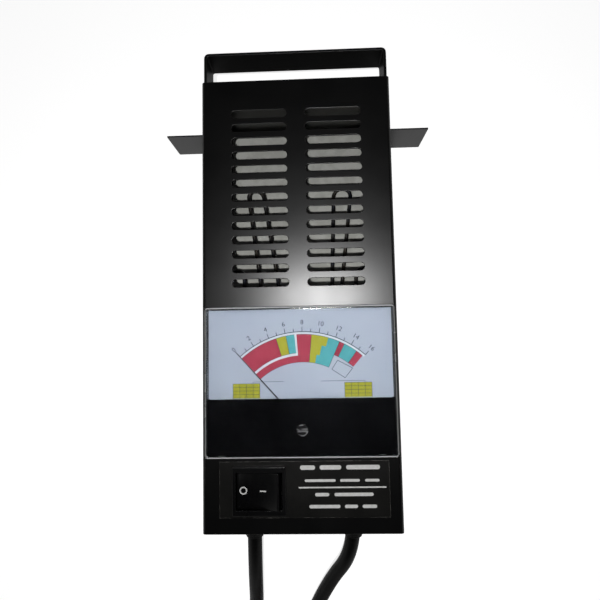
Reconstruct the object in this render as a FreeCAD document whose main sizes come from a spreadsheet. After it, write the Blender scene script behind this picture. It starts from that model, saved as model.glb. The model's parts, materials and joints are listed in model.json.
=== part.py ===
"""Hand-held 6 V / 12 V battery load tester, modelled lying on its back.

The tester is a bent sheet-steel case with a strap handle, a panel meter, a rocker switch that
springs back, a load of bent resistance wires and two heavy leads with battery clamps.
+Z points out of the front face, +Y towards the handle, and the leads leave the -Y end.
The origin is the centre of the case's back face. Lengths are in millimetres.
"""

import FreeCAD
import Part
import math
import os
import re
import Sketcher
from FreeCAD import Placement, Rotation, Vector

# Driving dimensions: alias, value and what it is
SIZE_TABLE = [
    ("case_width", 115.0, "outside width of the sheet-steel case"),
    ("case_length", 269.5, "outside length of the case"),
    ("case_depth", 75.0, "back face to front face"),
    ("case_sheet", 0.9, "thickness of the steel sheet"),
    ("case_bend", 2.0, "outside radius of the long bends"),
    ("fit_play", 0.1, "play between pieces that fit together"),
    ("slot_width", 34.0, "length of one vent slot"),
    ("slot_height", 4.8, "height of one vent slot"),
    ("slot_rows", 13, "rows of vent slots"),
    ("vent_gap", 14.26, "meter's upper edge to the centre of the last row"),
    ("slot_columns_apart", 45.0, "centre to centre of the two columns"),
    ("slot_margin", 21.25, "case top to the centre of the first row"),
    ("tab_drop", 27.05, "case top to the upper face of a side tab"),
    ("tab_reach", 26.1, "how far a side tab stands out"),
    ("tab_width", 29.0, "width of a side tab"),
    ("tab_setback", 14.0, "front face to a side tab"),
    ("tab_relief", 0.6, "relief at each end of a tab's bend"),
    ("handle_thick", 1.8, "thickness of the handle strip"),
    ("handle_width", 19.5, "width of the handle strip"),
    ("handle_rise", 19.7, "top of the handle above the case"),
    ("handle_setback", 2.0, "front face to the handle strip"),
    ("handle_leg", 24.0, "length of a handle leg inside the case"),
    ("handle_bend", 3.0, "outside radius of the handle's corners"),
    ("handle_play", 0.05, "handle leg to side wall"),
    ("rivet_hole", 1.6, "radius of a handle rivet's shank"),
    ("rivet_head", 3.2, "radius of a handle rivet's head"),
    ("rivet_dome", 1.2, "height of a handle rivet's head"),
    ("rivet_tail", 2.4, "radius of a handle rivet's inner head"),
    ("rivet_first", 7.0, "case top to the first rivet"),
    ("rivet_apart", 10.0, "first rivet to second rivet"),
    ("flange_height", 12.0, "height of the screw flanges"),
    ("flange_margin", 5.0, "case end to flange end"),
    ("screw_radius", 1.4, "radius of a case screw's shank"),
    ("screw_head", 3.0, "radius of a case screw's head"),
    ("screw_head_high", 1.8, "height of a case screw's head"),
    ("screw_length", 5.0, "length of a case screw under its head"),
    ("cross_half", 0.45, "half width of a case screw's cross recess"),
    ("cross_reach", 1.5, "reach of a case screw's cross recess"),
    ("screw_margin", 34.75, "case end to a case screw"),
    ("screw_level", 7.0, "back face to a case screw"),
    ("label_left", 10.0, "case side to the label plate's left edge"),
    ("label_right", 7.5, "case side to the label plate's right edge"),
    ("label_bottom", 9.25, "case end to the label plate"),
    ("label_height", 31.5, "height of the label plate"),
    ("label_thick", 0.4, "thickness of the label plate"),
    ("label_gap", 1.7, "label plate to the meter's clear cover"),
    ("cover_margin", 1.5, "case side to the meter's clear cover"),
    ("cover_height", 87.5, "height of the meter's clear cover"),
    ("cover_proud", 1.2, "how far the clear cover stands out of the face"),
    ("cover_wall", 1.3, "side wall of the clear cover"),
    ("cover_top", 1.5, "front wall of the clear cover"),
    ("cover_round", 0.65, "radius of the clear cover's edges"),
    ("window_play", 0.25, "clear cover to the window in the case"),
    ("dial_depth", 4.15, "front face to the dial"),
    ("dial_thick", 0.8, "thickness of the dial plate"),
    ("dial_play", 0.2, "dial plate to the clear cover's wall"),
    ("dial_gap_half", 15.5, "half width of the dial's cut-out for the movement"),
    ("mask_height", 32.4, "height of the black mask"),
    ("mask_thick", 0.7, "thickness of the black mask"),
    ("mask_play", 0.1, "mask to the clear cover"),
    ("mask_wall", 1.2, "side wall of the black mask"),
    ("mask_round", 0.35, "radius of the mask's upper edge"),
    ("mask_cover", 3.0, "how far the mask hides the dial's cut-out"),
    ("housing_deep", 32.0, "depth of the meter housing behind the dial"),
    ("housing_wall", 2.0, "wall of the meter housing"),
    ("housing_inset", 0.4, "clear cover's side to the housing's side"),
    ("lug_reach", 7.5, "how far the housing's fixing lugs stand out"),
    ("lug_bottom_reach", 5.2, "reach of the lower fixing lugs"),
    ("lug_half", 6.0, "half width of a fixing lug"),
    ("lug_inset", 9.0, "clear cover's side to a fixing lug's middle"),
    ("lug_edge", 2.4, "fixing stud to the lug's end"),
    ("fixing_radius", 1.5, "radius of a weld stud"),
    ("fixing_sleeve", 2.3, "radius of a weld stud's sleeve"),
    ("fixing_nut", 2.7, "corner radius of a weld stud's nut"),
    ("fixing_nut_high", 2.4, "height of a weld stud's nut"),
    ("pivot_right", 1.5, "case middle to the needle's pivot"),
    ("pivot_up", 17.0, "clear cover's lower edge to the needle's pivot"),
    ("scale_sweep", 84.0, "angle of the scale in degrees"),
    ("needle_length", 59.5, "pivot to the needle's tip"),
    ("needle_wide", 1.0, "width of the needle at its root"),
    ("needle_tip_wide", 0.35, "width of the needle at its tip"),
    ("needle_thick", 0.4, "thickness of the needle"),
    ("needle_lift", 0.65, "dial to the needle"),
    ("needle_ramp_start", 5.8, "radius where the needle starts to rise"),
    ("needle_ramp_end", 11.5, "radius where the needle is level again"),
    ("needle_tail", 8.0, "length of a balance tail"),
    ("tail_weight", 1.1, "radius of a balance weight"),
    ("hub_radius", 2.4, "radius of the needle's hub"),
    ("hub_thick", 1.0, "thickness of the needle's hub"),
    ("crank_gap", 0.4, "mask to the adjuster's crank"),
    ("crank_thick", 0.6, "thickness of the adjuster's crank"),
    ("crank_half", 1.0, "half width of the adjuster's crank"),
    ("crank_length", 5.2, "adjuster's axis to its crank pin"),
    ("crank_pin", 0.5, "radius of the crank pin"),
    ("stack_gap", 0.3, "gap between the crank and the front bridge"),
    ("bridge_thick", 1.2, "thickness of a movement bridge"),
    ("bridge_half", 13.4, "half length of a movement bridge"),
    ("bridge_wide", 5.0, "width of a movement bridge"),
    ("bridge_post", 1.6, "radius of a bridge post"),
    ("bridge_post_out", 11.8, "pivot to a bridge post"),
    ("jewel_boss", 1.5, "radius of a jewel boss"),
    ("lever_gap", 0.5, "front bridge to the zero lever"),
    ("lever_thick", 0.8, "thickness of the zero lever"),
    ("lever_ring", 2.6, "radius of the zero lever's ring"),
    ("lever_fork", 5.6, "pivot to the zero lever's fork end"),
    ("lever_run", 0.06, "running clearance of the zero lever on its boss"),
    ("fork_play", 0.15, "crank pin to fork"),
    ("spring_gap", 0.7, "zero lever to the front hairspring"),
    ("spring_wire", 0.15, "radius of the hairspring's wire"),
    ("spring_inner", 1.3, "inner radius of a hairspring"),
    ("spring_pitch", 0.8, "turn to turn of a hairspring"),
    ("spring_turns", 3, "turns of a hairspring"),
    ("hub_gap", 0.8, "front hairspring to the needle's hub"),
    ("staff_radius", 0.75, "radius of the staffs"),
    ("staff_run", 0.06, "running clearance of a staff in its jewel"),
    ("staff_end", 0.2, "end play of a staff"),
    ("coil_bar", 1.0, "thickness of the coil's end bars"),
    ("coil_gap", 0.8, "core to the coil's end bars"),
    ("coil_inner", 7.0, "pivot to the inside of a coil side"),
    ("coil_outer", 8.6, "pivot to the outside of a coil side"),
    ("coil_half", 2.4, "half width of the coil"),
    ("core_radius", 6.5, "radius of the core magnet"),
    ("core_high", 14.0, "height of the core magnet"),
    ("yoke_inner", 9.4, "inner radius of the yoke"),
    ("yoke_outer", 14.2, "outer radius of the yoke"),
    ("key_half", 1.5, "half width of a magnet key"),
    ("boss_radius", 2.2, "radius of the housing's yoke bosses"),
    ("adjuster_right", 0.8, "case middle to the zero adjuster"),
    ("adjuster_up", 16.0, "clear cover's lower edge to the zero adjuster"),
    ("adjuster_head", 3.6, "radius of the zero adjuster's head"),
    ("adjuster_head_high", 1.1, "height of the zero adjuster's head"),
    ("adjuster_face", 3.2, "radius of the zero adjuster's front face"),
    ("adjuster_shaft", 2.4, "radius of the zero adjuster's shaft"),
    ("adjuster_run", 0.06, "running clearance of the zero adjuster"),
    ("adjuster_slot", 1.0, "width of the screwdriver slot"),
    ("adjuster_slot_deep", 0.7, "depth of the screwdriver slot"),
    ("stud_radius", 2.5, "radius of a meter terminal stud"),
    ("stud_apart", 25.0, "meter terminal stud to the middle line"),
    ("stud_up", 44.3, "clear cover's lower edge to the terminal studs"),
    ("stud_out", 9.5, "how far a terminal stud stands out of the housing"),
    ("stud_in", 5.0, "how far a terminal stud reaches into the housing"),
    ("stud_nut", 4.6, "corner radius of a terminal nut"),
    ("stud_nut_high", 3.0, "height of a terminal nut"),
    ("switch_x", -24.5, "switch's place across the case"),
    ("switch_drop", 0.5, "label plate's middle down to the switch's middle"),
    ("bezel_width", 31.0, "width of the switch's bezel"),
    ("bezel_height", 27.5, "height of the switch's bezel"),
    ("bezel_thick", 2.2, "thickness of the switch's bezel"),
    ("bezel_round", 0.7, "radius of the bezel's edges"),
    ("switch_width", 28.4, "width of the switch's box"),
    ("switch_height", 23.8, "height of the switch's box"),
    ("switch_deep", 25.4, "depth of the switch's box behind its bezel"),
    ("switch_play", 0.1, "switch's box to its cut-out"),
    ("switch_floor", 1.5, "floor of the switch's box"),
    ("opening_width", 26.8, "width of the opening for the rocker"),
    ("opening_height", 21.0, "height of the opening for the rocker"),
    ("rocker_width", 24.6, "width of the rocker"),
    ("rocker_height", 20.4, "height of the rocker"),
    ("rocker_rise", 5.0, "rocker's pivot to its upper edges"),
    ("rocker_dish", 1.4, "depth of the rocker's hollow"),
    ("rocker_below", 1.5, "rocker's pivot to the underside of its plate"),
    ("rocker_sink", 2.5, "front face to the rocker's pivot"),
    ("rocker_tilt", 10.0, "tilt of the rocker each way in degrees"),
    ("rocker_stem", 9.0, "rocker's pivot to the end of its stem"),
    ("stem_half", 3.2, "half width of the rocker's stem"),
    ("pin_radius", 1.2, "radius of the rocker's pin"),
    ("pin_run", 0.06, "running clearance of the rocker on its pin"),
    ("pin_seat", 1.0, "how far the rocker's pin goes into each wall"),
    ("plunger_radius", 1.7, "radius of the plunger"),
    ("plunger_run", 0.06, "running clearance of the plunger"),
    ("plunger_back", 6.0, "rocker's pivot to the plunger's back end"),
    ("plunger_reach", 12.2, "rocker's pivot to the plunger's tip"),
    ("plunger_bore", 3.0, "rocker's pivot to the bore's end"),
    ("plunger_wire", 0.13, "wire radius of the plunger's spring"),
    ("plunger_coil", 1.3, "coil radius of the plunger's spring"),
    ("plunger_turns", 3, "turns of the plunger's spring"),
    ("contact_gap", 0.3, "plunger's tip to the contact lever"),
    ("contact_thick", 0.8, "thickness of the contact lever"),
    ("contact_half", 8.5, "half length of the contact lever"),
    ("contact_wide", 6.0, "width of the contact lever"),
    ("contact_tilt", 5.0, "tilt of the contact lever each way in degrees"),
    ("contact_bead", 0.9, "radius of the contact lever's pivot bead"),
    ("bead_run", 0.06, "running clearance of the pivot bead"),
    ("contact_pad_out", 7.4, "pivot bead to the contact pad"),
    ("contact_pad", 1.5, "radius of the contact pad"),
    ("contact_pad_high", 0.6, "height of the contact pad"),
    ("contact_close", 0.25, "gap left between the closed contacts"),
    ("stop_drop", 1.15, "contact lever's pivot to the stop under its far end"),
    ("blade_thick", 0.8, "thickness of a terminal blade"),
    ("blade_wide", 6.3, "width of a terminal blade"),
    ("blade_out", 9.0, "how far a terminal blade stands out of the box"),
    ("load_rise", 7.0, "load board to the resistance wires"),
    ("load_wire", 1.25, "radius of a resistance wire"),
    ("load_margin", 56.35, "case top to the top of the tall bends"),
    ("fold_drop", 7.7, "meter's upper edge down to the bottom of the return bends"),
    ("short_rise", 27.3, "meter's upper edge to the top of the short bends"),
    ("strand_drop", 4.4, "top of the tall bends to where the strands' upper places are taken"),
    ("strand_rise", 19.2, "meter's upper edge to where their lower places are taken"),
    ("post_drop", 15.2, "meter's upper edge down to the row of load posts"),
    ("post_inset", 8.6, "side wall to an end post's middle"),
    ("post_gap", 1.55, "load posts to the meter housing"),
    ("post_size", 8.0, "side of a load post"),
    ("post_high", 10.5, "height of a load post"),
    ("board_side", 1.6, "chassis flange to the load board"),
    ("board_below", 13.0, "row of load posts to the load board's lower edge"),
    ("board_above", 12.0, "row of load posts to the load board's upper edge"),
    ("board_thick", 3.0, "thickness of the load board"),
    ("standoff_radius", 3.5, "radius of a board standoff"),
    ("standoff_inset", 5.5, "board edge to a standoff"),
    ("bus_thick", 1.2, "thickness of the bus bar"),
    ("shield_side", 4.6, "chassis flange to the heat shield"),
    ("shield_gap", 4.0, "load board to the heat shield"),
    ("shield_margin", 5.5, "case top to the heat shield"),
    ("shield_thick", 0.6, "thickness of the heat shield"),
    ("shield_high", 4.6, "back face to the front of the heat shield"),
    ("lead_radius", 4.7, "radius of a lead"),
    ("lead_floor", 0.1, "lead to the surface it lies on"),
    ("lead_left_x", -32.4, "left lead's place across the case"),
    ("lead_right_x", 31.2, "right lead's place across the case"),
    ("lead_level", 37.5, "back face to where the leads come out"),
    ("lead_layer", 0.6, "gap between lead turns"),
    ("grommet_hole", 8.0, "radius of a grommet's hole"),
    ("grommet_flange", 9.5, "radius of a grommet's flange"),
    ("grommet_flange_thick", 3.0, "thickness of a grommet's outer flange"),
    ("grommet_inner_thick", 2.4, "thickness of a grommet's inner flange"),
    ("grommet_nose", 3.25, "length of a grommet's tapered nose"),
    ("grommet_tip", 6.0, "radius of a grommet's nose at its end"),
    ("grommet_neck", 8.5, "radius of a grommet's nose at its flange"),
    ("grommet_play", 0.05, "lead to grommet, and grommet to hole"),
    ("lug_barrel", 3.6, "radius of a crimped barrel"),
    ("lug_barrel_long", 8.0, "length of a crimped barrel"),
    ("lug_tongue", 1.2, "thickness of a lug's tongue"),
    ("link_radius", 2.2, "radius of the switch link"),
    ("link_deep", 7.05, "meter housing to the middle of the switch link"),
    ("meter_wire", 0.8, "radius of a meter wire"),
    ("ring_outer", 4.4, "outer radius of a ring tag"),
    ("ring_thick", 0.8, "thickness of a ring tag"),
    ("coil_x", 12.0, "middle of the put-away coil across the case"),
    ("coil_y", -290.0, "middle of the put-away coil along the case"),
    ("coil_ring", 46.0, "radius of the inner lead's turn"),
    ("clamp_pivot", 68.0, "clamp's rear end to its pivot"),
    ("clamp_reach", 63.0, "clamp's pivot to its tip"),
    ("clamp_half", 12.5, "half width of the fixed jaw across its plates"),
    ("clamp_sheet", 1.2, "sheet thickness of the clamp's jaws"),
    ("clamp_nest", 0.3, "gap between the nested jaws"),
    ("clamp_ear", 9.5, "radius of the jaws' ears"),
    ("clamp_spread", 35.0, "middle line to a handle's outer end"),
    ("clamp_waist", 13.5, "middle line to a jaw's back near the pivot"),
    ("clamp_neck", 12.0, "pivot to where the handle begins"),
    ("clamp_bow", 18.0, "middle line to a jaw's back at its bow"),
    ("jaw_straight", 9.0, "half length of a jaw's straight part at the pivot"),
    ("bow_start", 26.0, "pivot to where a jaw's bow is widest"),
    ("bow_end", 43.0, "pivot to where the bow starts to fall"),
    ("bow_fall", 1.5, "fall of the bow between those places"),
    ("nose_long", 6.0, "length of a jaw's nose"),
    ("nose_high", 8.0, "middle line to the back of the nose"),
    ("tip_high", 2.0, "height of a jaw's tip"),
    ("bite_long", 11.0, "length of a jaw's toothed edge"),
    ("throat_front", 18.0, "tip to the front of the jaws' throat"),
    ("throat_low", 6.0, "middle line to the throat's edge at its front"),
    ("throat_middle", 32.0, "pivot to the throat's highest place"),
    ("throat_high", 10.0, "middle line to the throat's edge there"),
    ("throat_back", 20.0, "pivot to the throat's rear"),
    ("throat_rear", 9.0, "middle line to the throat's edge at its rear"),
    ("jaw_gap", 0.2, "middle line to a jaw's teeth"),
    ("tooth_deep", 1.2, "depth of a jaw's teeth"),
    ("tooth_pitch", 2.4, "tooth to tooth"),
    ("tooth_count", 4, "teeth on each jaw"),
    ("grip_long", 40.0, "length of a handle grip"),
    ("grip_wall", 2.0, "wall of a handle grip"),
    ("grip_half", 14.6, "half width of a handle grip"),
    ("grip_round", 1.8, "radius of a handle grip's edges"),
    ("grip_end", 2.2, "end wall of a handle grip"),
    ("clamp_pin", 3.0, "radius of a clamp's pivot pin"),
    ("clamp_pin_run", 0.06, "running clearance of the moving jaw"),
    ("clamp_pin_head", 5.0, "radius of a pivot pin's head"),
    ("clamp_pin_head_high", 1.3, "height of a pivot pin's head"),
    ("torsion_wire", 0.9, "wire radius of a clamp's spring"),
    ("torsion_play", 0.3, "a clamp's spring to the pin and to the handles"),
    ("torsion_end", 32.0, "pivot to the end of a spring's leg, along the clamp"),
    ("torsion_pitch", 2.4, "turn to turn of a clamp's spring"),
    ("torsion_turns", 5, "turns of a clamp's spring"),
    ("clamp_crimp", 26.0, "clamp's rear end to the end of the crimp"),
    ("crimp_long", 8.0, "length of the crimp"),
    ("overcut", 1.0, "how far a cutting solid passes the face that it cuts"),
]
SIZES = {name: value for name, value, _ in SIZE_TABLE}

# Places that several pieces share, as formulas over the sizes
SIDE = "(case_width / 2)"
END = "(case_length / 2)"
SIDE_IN = "(case_width / 2 - case_sheet)"
CHASSIS_HALF = "(case_width / 2 - case_sheet - fit_play)"
SHEET_BACK = "(case_depth - case_sheet)"
HANDLE_OUT = "(case_width / 2 - case_sheet - handle_play)"
HANDLE_HIGH = "(case_depth - handle_setback)"
HANDLE_LOW = "(case_depth - handle_setback - handle_width)"
HANDLE_MID = "(case_depth - handle_setback - handle_width / 2)"
TAB_Y = "(case_length / 2 - tab_drop)"
LABEL_Y0 = "(label_bottom - case_length / 2)"
LABEL_Y1 = "(label_bottom + label_height - case_length / 2)"
COVER_Y0 = f"({LABEL_Y1} + label_gap)"
COVER_Y1 = f"({COVER_Y0} + cover_height)"
COVER_HALF = "(case_width / 2 - cover_margin)"
COVER_FRONT = "(case_depth + cover_proud)"
COVER_IN = "(case_depth + cover_proud - cover_top)"
DIAL_FRONT = "(case_depth - dial_depth)"
DIAL_BACK = "(case_depth - dial_depth - dial_thick)"
DIAL_HALF = f"({COVER_HALF} - cover_wall - dial_play)"
DIAL_Y0 = f"({COVER_Y0} + cover_wall + dial_play)"
DIAL_Y1 = f"({COVER_Y1} - cover_wall - dial_play)"
MASK_Y1 = f"({COVER_Y0} + cover_wall + mask_height)"
MASK_FRONT = f"({COVER_IN} - mask_play)"
MASK_BACK = f"({MASK_FRONT} - mask_thick)"
PIVOT_X = "pivot_right"
PIVOT_Y = f"({COVER_Y0} + pivot_up)"
ADJUST_X = "adjuster_right"
ADJUST_Y = f"({COVER_Y0} + adjuster_up)"
AT_PIVOT = (PIVOT_X, PIVOT_Y)
AT_ADJUSTER = (ADJUST_X, ADJUST_Y)
CRANK_FRONT = f"({MASK_BACK} - crank_gap)"
CRANK_BACK = f"({CRANK_FRONT} - crank_thick)"
BRIDGE_FRONT = f"({CRANK_BACK} - stack_gap)"
BRIDGE_BACK = f"({BRIDGE_FRONT} - bridge_thick)"
LEVER_FRONT = f"({BRIDGE_BACK} - lever_gap)"
LEVER_BACK = f"({LEVER_FRONT} - lever_thick)"
SPRING_LEVEL = f"({LEVER_BACK} - spring_gap)"
HUB_FRONT = f"({SPRING_LEVEL} - hub_gap)"
HUB_BACK = f"({HUB_FRONT} - hub_thick)"
COIL_FRONT = f"({HUB_BACK} - hub_gap)"
CORE_FRONT = f"({COIL_FRONT} - coil_bar - coil_gap)"
CORE_BACK = f"({CORE_FRONT} - core_high)"
COIL_BACK = f"({CORE_BACK} - coil_gap - coil_bar)"
SPRING_REAR = f"({COIL_BACK} - hub_gap)"
REAR_BRIDGE_FRONT = f"({SPRING_REAR} - spring_gap - lever_gap)"
REAR_BRIDGE_BACK = f"({REAR_BRIDGE_FRONT} - bridge_thick)"
STAFF_SEAT = f"({REAR_BRIDGE_FRONT} - bridge_thick / 2)"
HOUSING_HALF = f"({COVER_HALF} - housing_inset)"
HOUSING_Y0 = f"({COVER_Y0} + housing_inset)"
HOUSING_Y1 = f"({COVER_Y1} - housing_inset)"
HOUSING_BACK = f"({DIAL_BACK} - housing_deep)"
STUD_Y = f"({COVER_Y0} + stud_up)"
SWITCH_X = "switch_x"
SWITCH_Y = f"({LABEL_Y0} + label_height / 2 - switch_drop)"
ROCKER_Z = "(case_depth - rocker_sink)"
BEZEL_BACK = "(case_depth + label_thick)"
CONTACT_Z = f"({ROCKER_Z} - plunger_reach - contact_gap - contact_thick)"
SWITCH_BACK = f"({BEZEL_BACK} - switch_deep)"
BLADE_Y0 = f"({SWITCH_Y} - blade_wide / 2)"
BLADE_Y1 = f"({SWITCH_Y} + blade_wide / 2)"
BLADE_LOW = f"({SWITCH_BACK} - blade_out)"
CENTRE_BLADE = f"({SWITCH_X} + blade_thick / 2)"
LOAD_BLADE = f"({SWITCH_X} - contact_pad_out - blade_thick / 2)"
LOAD_LUG_X = f"({LOAD_BLADE} - lug_tongue / 2)"
LINK_X = f"({CENTRE_BLADE} + lug_tongue / 2)"
LINK_LEVEL = f"({HOUSING_BACK} - link_deep)"
SLOT_PITCH = f"({END} - slot_margin - {COVER_Y1} - vent_gap) / (slot_rows - 1)"
BOARD_HALF = f"({CHASSIS_HALF} - case_sheet - board_side)"
SHIELD_HALF = f"({CHASSIS_HALF} - case_sheet - shield_side)"
POST_BACK = f"({HOUSING_BACK} - post_gap - post_high)"
BOARD_BACK = f"({POST_BACK} - board_thick)"
POST_LEVEL = f"({POST_BACK} + post_high / 2)"
POST_OUT = f"({SIDE_IN} - post_inset)"
POST_Y = f"({COVER_Y1} - post_drop)"
POST_FACE = f"({POST_Y} - post_size / 2)"
POST_TOP_Y = f"({POST_Y} + post_size / 2)"
BOARD_Y0 = f"({POST_Y} - board_below)"
BOARD_Y1 = f"({POST_Y} + board_above)"
LUG_Y = f"({POST_FACE} - 2 * lug_barrel_long)"
LUG_TOP = "(lead_level + lug_tongue)"
TAG_LEVEL = f"({HOUSING_BACK} - stud_nut_high - ring_thick / 2)"
LOAD_TOP = f"({END} - load_margin)"
LOAD_FOLD = f"({COVER_Y1} - fold_drop)"
LOAD_SHORT_TOP = f"({COVER_Y1} + short_rise)"
STRAND_TOP = f"({LOAD_TOP} - strand_drop)"
STRAND_LOW = f"({COVER_Y1} + strand_rise)"
LEAD_EXIT_Y = "(-case_length / 2 - grommet_flange_thick - grommet_nose)"
NEEDLE_REST = "(90 + scale_sweep / 2)"
HANDLE_SLOPE = "((clamp_spread - clamp_waist) / (clamp_pivot - clamp_neck))"
HANDLE_ANGLE = f"atan({HANDLE_SLOPE})"
CABLE_PLAY = f"((lead_radius + grommet_play + fit_play) / cos({HANDLE_ANGLE}))"
CLAMP_CABLE = f"(clamp_spread - clamp_sheet - {CABLE_PLAY})"
HANDLE_INNER = f"({CLAMP_CABLE} - {CABLE_PLAY})"
HANDLE_MOUTH = f"({HANDLE_INNER} - {HANDLE_SLOPE} * grip_long)"
CLAMP_TIP = "(clamp_pivot + clamp_reach)"

# Names for what repeats
X_WAY, Y_WAY, Z_WAY = Vector(1, 0, 0), Vector(0, 1, 0), Vector(0, 0, 1)
BOTH_WAYS = ("-1", "1")
RIVETS = ("0", "1")
MIDDLE = ("0", "0")
BLADES = {"centre": "0", "load": "-contact_pad_out"}
HALF_TURN = 0.5
# How much of a gap a bend takes up, and of the shorter run an arc of a lead takes
BEND_SHARE, RUN_SHARE = 0.49, 0.45
# Millimetres within which two places are the same, and below which a run is left out
CLOSE, TINY = 0.01, 1e-6

doc = FreeCAD.newDocument("battery_load_tester")
sheet = doc.addObject("Spreadsheet::Sheet", "Sizes")
for row, (alias, number, meaning) in enumerate(SIZE_TABLE, 1):
    sheet.set(f"A{row}", alias)
    sheet.set(f"B{row}", str(number))
    sheet.set(f"C{row}", meaning)
    sheet.setAlias(f"B{row}", alias)
doc.recompute()

NODES = []


def formula(text):
    """The text with each size's alias turned into a reference to the sheet."""
    def refer(word):
        return "Sizes." + word.group() if word.group() in SIZES else word.group()

    return re.sub(r"[a-z]\w*", refer, text)


def number_of(text):
    """The number that a formula gives now."""
    return float(sheet.evalExpression(formula(text)))


def bind(thing, **formulas):
    """Bind properties of an object to formulas, where __ in a name stands for a dot."""
    for name, text in formulas.items():
        thing.setExpression(name.replace("__", "."), formula(text))
    return thing


def place(thing, x="0", y="0", z="0"):
    """Bind where an object stands."""
    return bind(thing, Placement__Base__x=x, Placement__Base__y=y, Placement__Base__z=z)


def node(thing, name):
    """Make an object a finished piece that is written to its own file."""
    thing.Label = name
    NODES.append(thing)
    return thing


def around(middle, half):
    """The two ends of a stretch round its middle."""
    return f"({middle} - {half})", f"({middle} + {half})"


def past(low, high):
    """The two ends of a stretch that a cutting solid passes."""
    return f"({low} - overcut)", f"({high} + overcut)"


def on_side(way, near, far):
    """A stretch on the plus side or the minus side of the middle, from low to high."""
    return (near, far) if way == "1" else (f"(-{far})", f"(-{near})")


def block(x, y, z):
    """A block from three pairs of formulas, low and high."""
    thing = doc.addObject("Part::Box", "block")
    sides = [f"({high}) - ({low})" for low, high in (x, y, z)]
    bind(thing, Length=sides[0], Width=sides[1], Height=sides[2])
    return place(thing, x[0], y[0], z[0])


TURNS = {"X": Rotation(Y_WAY, 90), "Y": Rotation(X_WAY, -90), "Z": Rotation()}


def rod(axis, across, low, high, radius, tip=None):
    """A round bar along an axis: its place across, its ends and its radius, or two radii."""
    kind = "Part::Cylinder" if tip is None else "Part::Cone"
    thing = doc.addObject(kind, "rod")
    thing.Placement = Placement(Vector(), TURNS[axis])
    if tip is None:
        bind(thing, Radius=radius, Height=f"({high}) - ({low})")
    else:
        bind(thing, Radius1=radius, Radius2=tip, Height=f"({high}) - ({low})")
    spots = {"X": (low, *across), "Y": (across[0], low, across[1]), "Z": (*across, low)}
    return place(thing, *spots[axis])


def ball(x, y, z, radius):
    """A ball."""
    return place(bind(doc.addObject("Part::Sphere", "ball"), Radius=radius), x, y, z)


def nut(across, low, high, radius):
    """A six-sided nut along Z."""
    thing = doc.addObject("Part::Prism", "nut")
    thing.Polygon = 6
    bind(thing, Circumradius=radius, Height=f"({high}) - ({low})")
    return place(thing, *across, low)


def fuse(*parts):
    """The parts joined or grouped."""
    thing = doc.addObject("Part::MultiFuse", "fuse")
    thing.Shapes = list(parts)
    thing.Refine = True
    return thing


def cut(base, *tools):
    """The base with the tools cut out of it."""
    thing = doc.addObject("Part::Cut", "cut")
    thing.Base = base
    thing.Tool = tools[0] if len(tools) == 1 else fuse(*tools)
    return thing


def common(first, second):
    """What two parts share."""
    thing = doc.addObject("Part::Common", "common")
    thing.Base, thing.Tool = first, second
    return thing


def round_edges(base, radius, chosen):
    """The base with the edges that chosen() picks rounded."""
    doc.recompute()
    size = number_of(radius)
    thing = doc.addObject("Part::Fillet", "rounded")
    thing.Base = base
    edges = [i for i, edge in enumerate(base.Shape.Edges, 1) if chosen(edge)]
    thing.Edges = [(i, size, size) for i in edges]
    return thing


def along(edge, axis):
    """Whether an edge is a straight one along an axis."""
    if not isinstance(edge.Curve, Part.Line):
        return False
    return abs(edge.tangentAt(edge.FirstParameter).dot(axis)) > 0.999


def plane_of(body, role):
    """One of a body's own origin planes."""
    return next(feature for feature in body.Origin.OriginFeatures if feature.Role == role)


def sketch_on(body, role, level="0"):
    """A sketch on a body's origin plane, moved along its normal."""
    sketch = body.newObject("Sketcher::SketchObject", "sketch")
    sketch.AttachmentSupport = [(plane_of(body, role), "")]
    sketch.MapMode = "FlatFace"
    sketch.setExpression("AttachmentOffset.Base.z", formula(level))
    return sketch


def add_outline(sketch, corners):
    """A closed outline through corners that are bound to formulas."""
    spots = [Vector(number_of(x), number_of(y), 0) for x, y in corners]
    first, count = sketch.GeometryCount, len(corners)
    for i in range(count):
        sketch.addGeometry(Part.LineSegment(spots[i], spots[(i + 1) % count]))
    for i in range(count):
        sketch.addConstraint(Sketcher.Constraint("Coincident", first + i, 2, first + (i + 1) % count, 1))
    for i, (x, y) in enumerate(corners):
        for kind, text, spot in (("DistanceX", x, spots[i].x), ("DistanceY", y, spots[i].y)):
            held = sketch.addConstraint(Sketcher.Constraint(kind, -1, 1, first + i, 1, spot))
            sketch.setExpression(f"Constraints[{held}]", formula(text))


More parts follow.
